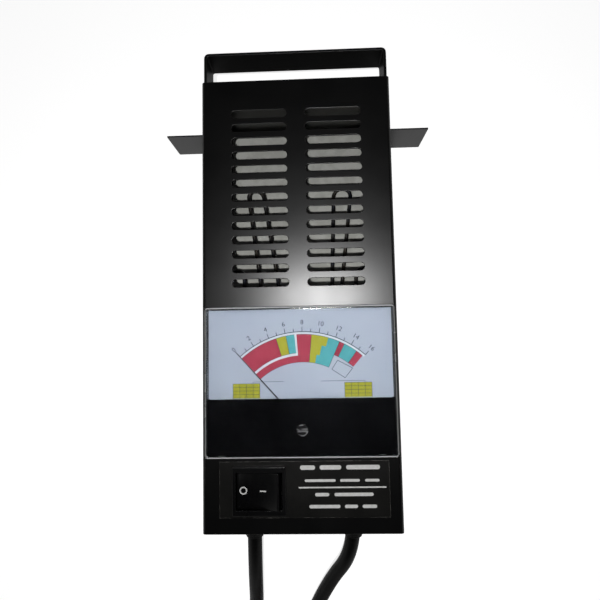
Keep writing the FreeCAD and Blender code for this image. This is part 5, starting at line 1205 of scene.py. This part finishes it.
@dataclass
class MeterMask:
    """The gloss black mask over the movement, slightly crowned, open towards the dial."""

    half: float = 54.6
    low: float = -90.9
    high: float = -58.6
    back: float = 70.85
    front: float = 74.6
    thick: float = 0.7
    crown: float = 0.22
    crown_steps: int = 24
    edge: float = 0.4
    edge_steps: int = 5
    edge_cut: float = 0.12
    rounding: float = 0.65
    rounding_steps: int = 8
    bore: Point = (0.8, -76.3, 2.5)

    def path(self) -> list[Flat]:
        """Draw the mask's front from the side.

        Returns:
            Y and Z of its points, from its lower edge up to its rounded upper edge.
        """
        middle, reach = (self.low + self.high) / 2, (self.high - self.low) / 2
        rim, edge = self.front - self.crown, self.edge
        points = [(self.low, self.back),
                  *arc((self.low + edge, rim - edge), edge, 180, 90, self.edge_steps)]
        for i in range(1, self.crown_steps):
            run = (self.high - self.rounding - self.low - edge) * i / self.crown_steps
            y = self.low + edge + run
            points.append((y, self.front - self.crown * ((y - middle) / reach) ** 2))
        end = (self.high - self.rounding, rim - self.rounding)
        return points + arc(end, self.rounding, 90, 0, self.rounding_steps)

    def build(self, wardrobe: Wardrobe) -> None:
        """Make the mask.

        Args:
            wardrobe: The finishes.
        """
        path = self.path()
        sides = [(self.half, None), (self.half, self.edge),
                 (self.half - self.edge_cut, self.edge_cut), (self.half - self.edge, 0.0)]
        stations = [(-x, drop) for x, drop in sides] + sides[::-1]
        rows = [[mm(x, y, self.back if drop is None else max(self.back, z - drop))
                 for y, z in path] for x, drop in stations]
        bm = bmesh.new()
        strip(bm, rows)
        bmesh.ops.dissolve_degenerate(bm, dist=HAIR * MM, edges=bm.edges)
        joined(bm, FORWARD)
        mask = make_piece("gloss_mask", bm, MOULDED_SHARP)
        thicken(mask, self.thick)
        settle(mask)
        drill(mask, self.bore)
        even_out(mask)
        wardrobe.put_on(mask, "black_gloss", TESTER, "black_gloss", "meter_mask")


@dataclass
class DialPrint:
    """The volt scale, the colour zones and the plain boxes on the dial.

    Angles are in degrees round the needle's pivot and fall as the volts rise. Each stair between
    yellow and teal has its outer radius, its inner radius and its angle, and each rule has its two
    ends and the place of its foot.
    """

    middle: Flat = (1.5, -75.3)
    level: float = 70.85
    ink: float = 0.03
    scale_radius: float = 55.5
    scale_half: float = 0.22
    start: float = 132.0
    sweep: float = 84.0
    volts: int = 16
    ticks: Flat = (2.9, 1.9)
    tick_wide: float = 0.4
    number_radius: float = 61.0
    number_size: float = 3.9
    number_steps: int = 4
    outer: float = 54.0
    low_band: float = 43.0
    thin_outer: float = 41.5
    inner: float = 37.5
    high_zone: float = 45.5
    low_yellow: Flat = (106.8, 100.3)
    low_end: float = 94.9
    red_start: float = 93.6
    yellow_start: float = 84.0
    stairs: tuple[Point, ...] = ((54.0, 48.5, 73.2), (48.5, 42.5, 76.2), (42.5, 37.5, 78.6))
    teal_end: float = 65.8
    high_teal: Flat = (62.4, 53.7)
    high_end: float = 49.0
    outline_half: float = 0.09
    spoke_wide: float = 0.24
    mask_edge: float = -58.5
    box_lefts: Flat = (-40.0, 26.0)
    box_wide: float = 16.0
    box_top: float = -50.0
    box_rows: tuple[float, ...] = (-50.0, -52.1, -54.2, -56.3)
    box_columns: tuple[float, ...] = (0.0, 0.25, 0.5, 0.75, 1.0)
    box_corner: float = 0.2
    box_line: float = 0.2
    rules: tuple[Point, ...] = ((-28.0, -10.0, -28.0), (12.0, 38.0, 38.0))
    rule_ends: Flat = (-49.0, -50.6)
    rule_wide: float = 0.22
    frame_corners: tuple[Flat, ...] = ((22.2, -37.0), (31.0, -41.7), (26.4, -47.3), (18.7, -42.3))
    frame_wide: float = 0.3
    ring_step: float = 1.5

    def ring(self, r0: float, r1: float, a0: float, a1: float) -> Outline:
        """The outline of a piece of a ring."""
        steps = max(2, round(abs(a1 - a0) / self.ring_step))
        return arc(self.middle, r1, a0, a1, steps) + arc(self.middle, r0, a1, a0, steps)

    def bar(self, first: Flat, last: Flat, wide: float) -> Outline:
        """The outline of a straight line.

        Args:
            first: Its start.
            last: Its end.
            wide: Its width.

        Returns:
            Its four corners.
        """
        run = Vector((last[0] - first[0], last[1] - first[1])).normalized() * wide / 2
        return [(first[0] + run.y, first[1] - run.x), (last[0] + run.y, last[1] - run.x),
                (last[0] - run.y, last[1] + run.x), (first[0] - run.y, first[1] + run.x)]

    def on_ray(self, radius: float, angle: float) -> Flat:
        """The point at a radius and an angle."""
        return arc(self.middle, radius, angle, angle, 1)[0]

    def spoke(self, r0: float, r1: float, angle: float, wide: float) -> Outline:
        """The outline of a line along a radius."""
        return self.bar(self.on_ray(r0, angle), self.on_ray(r1, angle), wide)

    def rings(self, *rows: tuple[float, float, float, float]) -> list[Shape]:
        """Pieces of rings, each from two radii and two angles."""
        return [[self.ring(*row)] for row in rows]

    def volt_angle(self, volt: int) -> float:
        """Where a volt number stands on the scale."""
        return self.start - self.sweep * volt / self.volts

    def scale(self) -> list[Shape]:
        """Draw the scale.

        Returns:
            Its line and its ticks.
        """
        radius, half = self.scale_radius, self.scale_half
        shapes = self.rings((radius - half, radius + half, self.start, self.start - self.sweep))
        for volt in range(self.volts + 1):
            end = radius + self.ticks[volt % 2]
            shapes.append([self.spoke(radius, end, self.volt_angle(volt), self.tick_wide)])
        return shapes

    def boxes(self) -> list[Shape]:
        """Draw the thin lines beside the scale.

        Returns:
            The rules, the empty frame and the grid in the yellow boxes.
        """
        upper, lower = self.rule_ends
        shapes = []
        for x0, x1, foot in self.rules:
            shapes += [[self.bar((x0, upper), (x1, upper), self.rule_wide)],
                       [self.bar((foot, upper), (foot, lower), self.rule_wide)]]
        corners = self.frame_corners
        shapes += [[self.bar(a, b, self.frame_wide)]
                   for a, b in zip(corners, corners[1:] + corners[:1])]
        for x0 in self.box_lefts:
            columns = [x0 + self.box_wide * share for share in self.box_columns]
            shapes += [[self.bar((x, self.box_top), (x, self.mask_edge), self.box_line)]
                       for x in columns]
            shapes += [[self.bar((x0, y), (x0 + self.box_wide, y), self.box_line)]
                       for y in self.box_rows]
        return shapes

    def outlines(self) -> list[Shape]:
        """Draw the thin lines of the colour zones.

        Returns:
            The arcs round the zones and the spokes between them.
        """
        half = self.outline_half
        shapes = self.rings(*((radius - half, radius + half, a0, a1) for radius, a0, a1 in (
            (self.outer, self.start, self.low_end), (self.outer, self.red_start, self.high_end),
            (self.inner, self.start, self.teal_end), (self.high_zone, self.teal_end, self.high_end),
            (self.low_band, self.start, self.low_end))))
        for foot, angles in ((self.low_band, self.low_yellow),
                             (self.inner, (self.yellow_start, self.teal_end)),
                             (self.high_zone, self.high_teal)):
            shapes += [[self.spoke(foot, self.outer, angle, self.spoke_wide)] for angle in angles]
        return shapes

    def zones(self) -> dict[Ink, list[Shape]]:
        """Draw the colour zones, the yellow boxes and the white bands.

        Returns:
            The shapes of each ink.
        """
        outer, inner, start, low_end = self.outer, self.inner, self.start, self.low_end
        (yellow_from, yellow_to), (teal_from, teal_to) = self.low_yellow, self.high_teal
        red = self.rings((self.low_band, outer, start, yellow_from),
                         (inner, self.thin_outer, start, self.red_start),
                         (inner, outer, self.red_start, self.yellow_start),
                         (self.high_zone, outer, self.teal_end, teal_from),
                         (self.high_zone, outer, teal_to, self.high_end))
        yellow = self.rings((self.low_band, outer, yellow_from, yellow_to),
                            *((r0, r1, self.yellow_start, turn) for r1, r0, turn in self.stairs))
        yellow += [[rounded_outline((x0, self.mask_edge), (x0 + self.box_wide, self.box_top),
                                    self.box_corner, 2)] for x0 in self.box_lefts]
        teal = self.rings((self.low_band, outer, yellow_to, low_end),
                          *((r0, r1, turn, self.teal_end) for r1, r0, turn in self.stairs),
                          (self.high_zone, outer, teal_from, teal_to))
        white = self.rings((outer, self.scale_radius, start, start - self.sweep),
                           (self.thin_outer, self.low_band, start, self.red_start),
                           (self.low_band, outer, low_end, self.red_start))
        return {Ink.RED: red, Ink.YELLOW: yellow, Ink.TEAL: teal, Ink.WHITE: white}

    def numbers(self) -> Piece:
        """Write the scale's plain numbers.

        Returns:
            All of them as one thin mesh.
        """
        bm = bmesh.new()
        graph = bpy.context.evaluated_depsgraph_get()
        for volt in range(0, self.volts + 1, 2):
            angle = self.volt_angle(volt)
            words = bpy.data.curves.new(f"volt_{volt}", "FONT")
            words.body = str(volt)
            words.align_x, words.align_y = "CENTER", "CENTER"
            words.size = self.number_size * MM
            words.extrude = self.ink * MM
            words.resolution_u = self.number_steps
            holder = link(f"volt_{volt}", words)
            turn = Matrix.Rotation(math.radians(angle - 90), 4, "Z")
            spot = mm(*self.on_ray(self.number_radius, angle), self.level)
            holder.matrix_world = Matrix.Translation(spot) @ turn
            graph.update()
            made = bpy.data.meshes.new_from_object(holder.evaluated_get(graph))
            made.transform(holder.matrix_world)
            bm.from_mesh(made)
            bpy.data.objects.remove(holder)
        return make_piece("dial_numbers", bm, PRINT_SHARP)

    def build(self, wardrobe: Wardrobe) -> None:
        """Print the dial: the colours first, then the lines over them.

        Args:
            wardrobe: The finishes.
        """
        low, high, top = (self.level + layers * self.ink for layers in (-1, 1, 2))
        for ink, shapes in self.zones().items():
            wardrobe.put_on(plates(ink.value, shapes, low, high), ink.value)
        lines = self.scale() + self.boxes() + self.outlines()
        wardrobe.put_on(plates("dial_lines", lines, low, top), Ink.BLACK.value)
        wardrobe.put_on(self.numbers(), Ink.BLACK.value)


# ---------------------------------------------------------------- switch


@dataclass
class RockerMarks:
    """The ring and the dash on the rocker's hollow face."""

    pivot: Point = (-24.5, -110.25, 72.5)
    tilt: float = -10.0
    rise: float = 5.0
    dish: float = 1.4
    half: float = 12.3
    ring_x: float = -8.6
    ring_radii: Flat = (2.2, 1.5)
    ring_steps: int = 47
    dash_x: float = 2.9
    dash_half: Flat = (1.9, 0.4)
    dash_corner: float = 0.35
    ink: float = 0.06

    def surface(self, x: float) -> float:
        """The height of the hollow face above the rocker's pivot."""
        radius = (self.half ** 2 + self.dish ** 2) / (2 * self.dish)
        return self.rise - self.dish + radius - math.sqrt(radius ** 2 - x ** 2)

    def build(self, wardrobe: Wardrobe) -> None:
        """Make both marks, which ride on the rocker.

        Args:
            wardrobe: The finishes.
        """
        wide, tall = self.dash_half
        ring = [arc((self.ring_x, 0.0), radius, 0, 355, self.ring_steps)
                for radius in self.ring_radii]
        dash = rounded_outline((self.dash_x - wide, -tall), (self.dash_x + wide, tall),
                               self.dash_corner, 3)
        marks = plates("rocker_marks", [ring, [dash]], 0.0, self.ink)
        for vertex in marks.data.vertices:
            vertex.co.z += (self.surface(vertex.co.x / MM) - self.ink / 2) * MM
        turn = Matrix.Rotation(math.radians(self.tilt), 4, "Y")
        marks.data.transform(Matrix.Translation(mm(*self.pivot)) @ turn)
        wardrobe.put_on(marks, "label_ink", "rocker")


# ---------------------------------------------------------------- leads and clamps


@dataclass
class LeadGrommet:
    """A rubber grommet with a ribbed, tapered nose round each lead."""

    level: float = 37.5
    wall: float = -134.75
    places: tuple[tuple[str, float], ...] = (("grommet_left", -32.4), ("grommet_right", 31.2))
    bore: float = 4.75
    inner_end: float = -3.3
    flange: tuple[Flat, ...] = (
        (9.2, -3.3), (9.5, -3.0), (9.5, -0.95), (7.95, -0.9), (7.95, 0.0), (9.1, 0.0), (9.5, 0.4),
        (9.5, 2.3), (9.3, 2.75), (8.8, 3.0), (8.5, 3.0))
    tip: tuple[Flat, ...] = ((5.5, 0.0), (5.2, 0.25), (4.75, 0.3))
    nose_start: float = 3.4
    nose_end: float = 15.5
    ribbed_length: float = 11.9
    nose_radius: float = 8.3
    taper: float = 2.6
    ribs: int = 5
    rib: tuple[Flat, ...] = ((0.0, 0.0), (0.05, 0.55), (0.9, 0.62), (0.95, 0.95))
    round_steps: int = 64
    edge_round: float = 0.15
    edge_angle: float = 40.0

    def profile(self) -> list[Flat]:
        """Draw the grommet's section.

        Returns:
            Radius and distance out of the wall, from the inner flange to the nose and back.
        """
        points = [(self.bore, self.inner_end), *self.flange]
        pitch = self.ribbed_length / self.ribs
        for rib in range(self.ribs):
            out = self.nose_start + rib * pitch
            wide = self.nose_radius - self.taper * rib / self.ribs
            points += [(wide - cut, out + share * pitch) for cut, share in self.rib]
        points += [(radius, self.nose_end + out) for radius, out in self.tip]
        return points + [(self.bore, self.inner_end)]

    def build(self, wardrobe: Wardrobe) -> None:
        """Make both grommets.

        Args:
            wardrobe: The finishes.
        """
        for node, x in self.places:
            place = standing((x, self.wall, self.level), (0, -1, 0))
            grommet = turned(f"{node}_moulding", self.profile(), [place], self.round_steps)
            soften(grommet, self.edge_round, 2, self.edge_angle)
            wardrobe.put_on(grommet, "grommet_rubber", TESTER, "grommet_rubber", node)


@dataclass(frozen=True)
class PutAwayLead:
    """One lead, put away as a coil on the surface.

    Attributes:
        side: Which lead it is.
        clamp: The clamp at its end.
        route: Its listed points from the grommet to the coil.
        ring: The coil's radius.
        start: The angle in degrees at which the coil starts.
        finish: The angle at which it ends.
        climb: The angles between which it climbs by a layer.
        run_out: The straight run from the coil to the clamp.
        length: The lead's whole length in metres.
    """

    side: LeadSide
    clamp: str
    route: tuple[Point, ...]
    ring: float
    start: float
    finish: float
    climb: Flat
    run_out: float
    length: float


LEADS = (
    PutAwayLead(
        LeadSide.LEFT, "clamp_black",
        ((-32.4, -141.0, 37.5), (-32.4, -168.0, 37.5), (-35.5, -219.0, 5.0), (-44.0, -259.0, 4.8)),
        ring=56.0, start=180.0, finish=530.0, climb=(290.0, 430.0), run_out=76.0, length=0.576),
    PutAwayLead(
        LeadSide.RIGHT, "clamp_red",
        ((31.2, -141.0, 37.5), (31.2, -160.5, 37.5), (14.5, -187.0, 22.0), (-2.4, -228.4, 4.8)),
        ring=46.0, start=146.5, finish=565.0, climb=(320.0, 450.0), run_out=92.0, length=0.573),
)


@dataclass
class LeadSet:
    """The two leads, each one smooth line from its grommet to its clamp."""

    radius: float = 4.7
    coil_middle: Flat = (12.0, -290.0)
    floor: float = 4.8
    layer: float = 10.0
    points_per_turn: int = 18
    run_shares: Point = (0.3, 0.65, 1.0)
    round_steps: int = 8
    run_steps: int = 10

    def coil_spot(self, radius: float, angle: float, level: float) -> Vector:
        """A point round the coils' middle, by an angle in radians."""
        x, y = self.coil_middle
        return mm(x + radius * math.cos(angle), y + radius * math.sin(angle), level)

    def points(self, lead: PutAwayLead) -> list[Vector]:
        """Work out a lead's control points.

        Args:
            lead: The lead.

        Returns:
            Its listed route, its coil's points and its straight run out.
        """
        count = round((lead.finish - lead.start) / (360.0 / self.points_per_turn))
        turn = (lead.finish - lead.start) / count
        spread = lead.ring / math.cos(math.radians(turn) / 2)
        spots = [mm(*spot) for spot in lead.route]
        for i in range(count):
            angle = lead.start + (i + 0.5) * turn
            share = (angle - lead.climb[0]) / (lead.climb[1] - lead.climb[0])
            share = max(0.0, min(1.0, share))
            level = self.floor + self.layer * share * share * (3 - 2 * share)
            spots.append(self.coil_spot(spread, math.radians(angle), level))
        last = math.radians(lead.finish)
        leave = self.coil_spot(lead.ring, last, self.floor + self.layer)
        heading = Vector((-math.sin(last), math.cos(last), 0))
        return spots + [leave + heading * lead.run_out * MM * share for share in self.run_shares]

    def jacket(self, name: str, spots: Sequence[Vector]) -> Piece:
        """A round cord along control points.

        Args:
            name: The cord's name.
            spots: Its control points in metres.

        Returns:
            The cord, as a curve.
        """
        curve = bpy.data.curves.new(name, "CURVE")
        curve.dimensions = "3D"
        curve.bevel_depth = self.radius * MM
        curve.bevel_resolution = self.round_steps
        curve.resolution_u = self.run_steps
        line = curve.splines.new("NURBS")
        line.points.add(len(spots) - 1)
        for point, spot in zip(line.points, spots):
            point.co = (*spot, 1.0)
        line.order_u = 3
        line.use_endpoint_u = True
        return link(name, curve)

    def build(self, wardrobe: Wardrobe, sleeves: dict[str, list[Piece]]) -> None:
        """Args:
            wardrobe: The finishes.
            sleeves: The dressed pieces of each clamp, by the clamp's name; not used.
        """
        for lead in LEADS:
            node = lead.side.value
            jacket = self.jacket(f"{node}_jacket", self.points(lead))
            wardrobe.put_on(jacket, "lead_black", TESTER, "lead_black", node, f"{node}_coil")


@dataclass
class ClampGrips:
    """The dipped vinyl grips on the clamps' handles, ribbed on their backs."""

    colour: str
    rear: Point
    yaw: float
    flip: bool
    spread: float = 35.0
    slope: float = 0.38393
    inner: float = 23.41
    wall: float = 2.0
    skin: float = 1.6
    long: float = 40.0
    end: float = 2.2
    end_round: float = 2.4
    end_steps: int = 5
    first: float = 0.9
    half: float = 14.6
    corner: float = 4.6
    rib_pitch: float = 3.4
    rib_steps: int = 8
    rib_deep: float = 0.55
    ribs: Flat = (7.0, 34.5)
    back_share: float = 0.35
    squeeze: float = 0.02
    lip: tuple[Flat, ...] = ((-1.6, 0.0), (-1.2, -0.12), (-0.5, -0.16), (0.0, -0.05))
    least_corner: float = 1.0
    corner_steps: int = 6

    def place(self) -> Matrix:
        """Work out where the clamp lies.

        Returns:
            The clamp's own frame: X from its cable end to its tip, Y across its handles.
        """
        turn = Matrix.Rotation(math.radians(self.yaw), 4, "Z")
        if self.flip:
            turn = turn @ Matrix.Rotation(math.pi, 4, "X")
        return Matrix.Translation(mm(*self.rear)) @ turn

    def stations(self) -> list[Flat]:
        """Lay out the places along the grip at which its outline is drawn.

        Returns:
            The distance from the handle's end and the outline's inset of each: the round end,
            the ribs and the lip.
        """
        turns = [math.radians(90 * i / self.end_steps) for i in range(self.end_steps)]
        rounding = [(-self.end + self.end_round * (1 - math.cos(a)),
                     self.end_round * (1 - math.sin(a))) for a in turns]
        step = self.rib_pitch / self.rib_steps
        count = int((self.long + self.lip[0][0] - self.first) / step) + 1
        ribbed = [(self.first + step * i, 0.0) for i in range(count)]
        return rounding + ribbed + [(self.long + along, inset) for along, inset in self.lip]

    def section(self, along: float, half: Half, inset: float) -> list[Vector]:
        """The grip's outline at one place along it.

        Args:
            along: The distance from the handle's end, in millimetres.
            half: Which half of the clamp it is on.
            inset: How far the outline is drawn in, for the rounded end.

        Returns:
            The ring of points in the clamp's frame.
        """
        high = self.spread + self.wall - self.slope * along - inset
        low = self.inner - self.wall - self.slope * along + inset
        ring = rounded_outline((-self.half + inset, low), (self.half - inset, high),
                               max(self.least_corner, self.corner - inset), self.corner_steps)
        middle = (low + high) / 2
        groove = 0.0
        if self.ribs[0] < along < self.ribs[1]:
            wave = math.cos(2 * math.pi * (along - self.ribs[0]) / self.rib_pitch)
            groove = self.rib_deep * (0.5 - 0.5 * wave)
        points = []
        for w, v in ring:
            back = max(0.0, min(1.0, (v - middle) / (self.back_share * (high - low))))
            points.append(mm(along, half.value * (v - groove * back),
                             w * (1 - self.squeeze * groove * back)))
        return points

    def build(self, wardrobe: Wardrobe, half: Half, body: str) -> Piece:
        """Make one grip.

        Args:
            wardrobe: The finishes.
            half: Which half of the clamp it is on.
            body: The body that it rides on.

        Returns:
            The grip.
        """
        rings = [self.section(along, half, inset) for along, inset in self.stations()]
        bm = bmesh.new()
        strip(bm, rings, closed=True)
        cap(bm, rings[0])
        closed_up(bm, CLOSE)
        end = min(bm.faces, key=lambda face: face.calc_center_median().x)
        if end.normal.x > 0:
            bmesh.ops.reverse_faces(bm, faces=bm.faces)
        bm.transform(self.place())
        name = f"clamp_{self.colour}_{half.name.lower()}"
        grip = make_piece(f"{name}_sleeve", bm, MOULDED_SHARP)
        thicken(grip, self.skin)
        finish = f"{self.colour}_vinyl"
        return wardrobe.put_on(grip, finish, body, finish, f"{name}_grip")


@dataclass
class ClampSpring:
    """A clamp's torsion spring, with one leg on the fixed jaw and one on the moving jaw."""

    grips: ClampGrips
    pivot: float = 68.0
    coil: float = 5.5

    def build(self, wardrobe: Wardrobe) -> Piece:
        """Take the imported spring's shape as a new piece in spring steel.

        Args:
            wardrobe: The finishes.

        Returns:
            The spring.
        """
        clamp = f"clamp_{self.grips.colour}"
        node = frame["nodes"][f"{clamp}_spring"]
        spring = link(f"{clamp}_coil_spring", node.data.copy())
        dress(spring, wardrobe["spring_steel"])
        place, reach = self.grips.place(), (-self.coil, self.coil)
        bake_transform(spring)
        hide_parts(node.name)
        log.info("%s: spring_steel between tester and jaw", spring.name)
        return spring


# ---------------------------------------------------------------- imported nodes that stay


class PackedPieces:
    """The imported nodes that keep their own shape: their finishes and softened edges."""

    ROUNDED = {
        "rear_chassis": 0.16, "case_screws": 0.15, "label_plate": 0.1, "dial_plate": 0.08,
        "meter_housing": 0.25, "meter_fixings": 0.12, "meter_studs": 0.15, "meter_yoke": 0.25,
        "meter_magnet": 0.2, "magnet_keys": 0.1, "front_bridge": 0.12, "rear_bridge": 0.12,
        "moving_coil": 0.1, "zero_lever": 0.06, "zero_adjuster": 0.35, "switch_body": 0.12,
        "rocker": 0.4, "contact_lever": 0.08, "switch_terminals": 0.08, "load_posts": 0.3,
        "load_bus_bar": 0.15, "load_board": 0.2, "board_standoffs": 0.2, "heat_shield": 0.15,
    }
    CLAMP_ROUND = 0.18

    def __init__(self, wardrobe: Wardrobe) -> None:
        """Keep the finishes, and each node's from the record.

        Args:
            wardrobe: The finishes.
        """
        self.wardrobe = wardrobe
        parts = frame["record"]["subparts"]
        self.finish_of = {part["node"]: part["material_slot"] for part in parts}
        self.finish_of["zero_adjuster"] = "adjuster_black"

    def build(self) -> None:
        """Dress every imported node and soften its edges."""
        for name, node in frame["nodes"].items():
            dress(node, self.wardrobe[self.finish_of[name]])
            usual = self.CLAMP_ROUND if "_jaw" in name or "_pin" in name else 0.0
            width = self.ROUNDED.get(name, usual)
            if width:
                weld(node)
                soften(node, width)
        log.info("packed nodes dressed: %d", len(frame["nodes"]))


# ---------------------------------------------------------------- photo booth


@dataclass(frozen=True)
class Lamp:
    """A small oval lamp near the camera.

    Attributes:
        name: Its name.
        spot: Where it hangs.
        power: Its power in watts.
        matt: Whether it lights matt surfaces.
        gloss: Whether it shows in glossy and clear ones.
        size: Its width and height in metres.
    """

    name: str
    spot: Point
    power: float
    matt: bool
    gloss: bool
    size: Flat

    def hang(self) -> None:
        """Put the lamp up."""
        data = bpy.data.lights.new(self.name, "AREA")
        data.shape = "ELLIPSE"
        data.size, data.size_y = self.size
        data.energy = self.power
        lamp = link(self.name, data)
        lamp.location = mm(*self.spot)
        lamp.visible_diffuse = self.matt
        lamp.visible_glossy = self.gloss
        lamp.visible_transmission = self.gloss


@dataclass
class PhotoBooth:
    """Floor, lamps and camera."""

    camera_spot: Point = (9.914, -22.8, 349.6)
    camera_turn: Point = (-4.5, -1.9, 1.2)
    lens: float = 28.02
    sensor: float = 36.0
    nearest: float = 0.01
    floor_half: float = 1500.0
    floor_gap: float = 0.4
    floor_colour: Colour = (0.9, 0.9, 0.9)
    floor_rough: float = 0.9
    floor_glow: float = 0.8
    mirrored_glow: float = 0.2
    lamps: tuple[Lamp, ...] = (
        Lamp("flash", (2.0, -42.0, 395.0), 0.54, True, False, (0.003, 0.003)),
        Lamp("sheen", (18.0, 21.0, 360.0), 0.44, False, True, (0.11, 0.02)))
    white: Colour = (1.0, 1.0, 1.0)
    horizon: Colour = (0.95, 0.95, 0.93)
    zenith: Colour = (0.025, 0.025, 0.028)
    sky_band: Flat = (0.05, 0.6)
    ambient: float = 0.5

    def camera(self) -> None:
        """Set the camera where the photograph was taken from."""
        data = bpy.data.cameras.new("camera")
        data.lens = self.lens
        data.sensor_width = self.sensor
        data.clip_start = self.nearest
        angles = [math.radians(angle) for angle in self.camera_turn]
        turn = Euler(angles, "XYZ").to_matrix().transposed().to_4x4()
        camera = link("camera", data)
        camera.matrix_world = Matrix.Translation(mm(*self.camera_spot)) @ turn
        bpy.context.scene.camera = camera

    def seen(self, board: Board) -> Socket:
        """Work out how much of the floor's own white a ray takes.

        Args:
            board: The floor material's board.

        Returns:
            The share: all of it seen plainly or through glass, less in a reflection.
        """
        path = board.add("ShaderNodeLightPath").outputs
        mirrored = board.maths("MULTIPLY", path["Is Glossy Ray"], self.mirrored_glow)
        straight = board.maths("MAXIMUM", path["Is Camera Ray"], path["Is Transmission Ray"])
        return board.maths("MAXIMUM", straight, mirrored)

    def floor(self) -> None:
        """Lay the pale floor just under the case. It shows white and keeps the shadow."""
        half, low = self.floor_half * MM, -self.floor_gap * MM
        corners = [(-half, -half, low), (half, -half, low), (half, half, low), (-half, half, low)]
        mesh = bpy.data.meshes.new("floor")
        mesh.from_pydata(corners, [], [(0, 1, 2, 3)])
        floor = link("floor", mesh)
        material, board, shader = blank_material("pale_floor")
        board.fill(shader, {
            "Base Color": (*self.floor_colour, 1.0), "Roughness": self.floor_rough})
        glow = board.maths("MULTIPLY", self.seen(board), self.floor_glow)
        white = board.add("ShaderNodeEmission", {"Color": (*self.white, 1.0), "Strength": glow})
        board.show(board.add("ShaderNodeAddShader", {0: shader.outputs[0], 1: white.outputs[0]}))
        dress(floor, material)

    def light(self) -> None:
        """Light the tester with the lamps by the camera and a soft surround."""
        for lamp in self.lamps:
            lamp.hang()
        world = bpy.context.scene.world or bpy.data.worlds.new("world")
        bpy.context.scene.world = world
        world.use_nodes = True
        board = Board(world.node_tree)
        place = board.add("ShaderNodeTexCoord").outputs["Generated"]
        up = board.add("ShaderNodeSeparateXYZ", {0: place}).outputs[2]
        glow = board.blend(board.spread(up, *self.sky_band), self.horizon, self.zenith)
        surround = world.node_tree.nodes["Background"]
        board.fill(surround, {"Color": glow, "Strength": self.ambient})
        white = board.add("ShaderNodeBackground", {"Color": (*self.white, 1.0), "Strength": 1.0})
        camera_ray = board.add("ShaderNodeLightPath").outputs["Is Camera Ray"]
        both = {0: camera_ray, 1: surround.outputs[0], 2: white.outputs[0]}
        board.show(board.add("ShaderNodeMixShader", both), "World Output")


CLAMPS = (ClampGrips("black", (-79.9106, -334.976, 14.8), -78.9968, flip=True),
          ClampGrips("red", (26.7379, -367.263, 14.8), -86.0032, flip=False))


def main() -> None:
    """Build the pieces in order."""
    logging.basicConfig(level=logging.INFO, format="%(message)s")
    scene = bpy.context.scene
    scene.view_settings.view_transform = "Standard"
    for thing in list(scene.objects):
        if thing.type in ("LIGHT", "CAMERA"):
            bpy.data.objects.remove(thing)
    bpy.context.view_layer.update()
    wardrobe = Wardrobe()
    booth = PhotoBooth()
    booth.camera()
    PackedPieces(wardrobe).build()
    for assembly in (CaseShell(), StrapHandle(), SwitchLabel(), MeterFront(), MeterMask(),
                     DialPrint(), RockerMarks(), LeadGrommet()):
        assembly.build(wardrobe)
    sleeves: dict[str, list[Piece]] = {}
    for grips in CLAMPS:
        clamp = f"clamp_{grips.colour}"
        sleeves[clamp] = [grips.build(wardrobe, Half.FIXED, TESTER),
                          grips.build(wardrobe, Half.MOVING, f"{clamp}_jaw"),
                          ClampSpring(grips).build(wardrobe)]
    LeadSet().build(wardrobe, sleeves)
    booth.floor()
    booth.light()


if __name__ == "__main__":
    main()
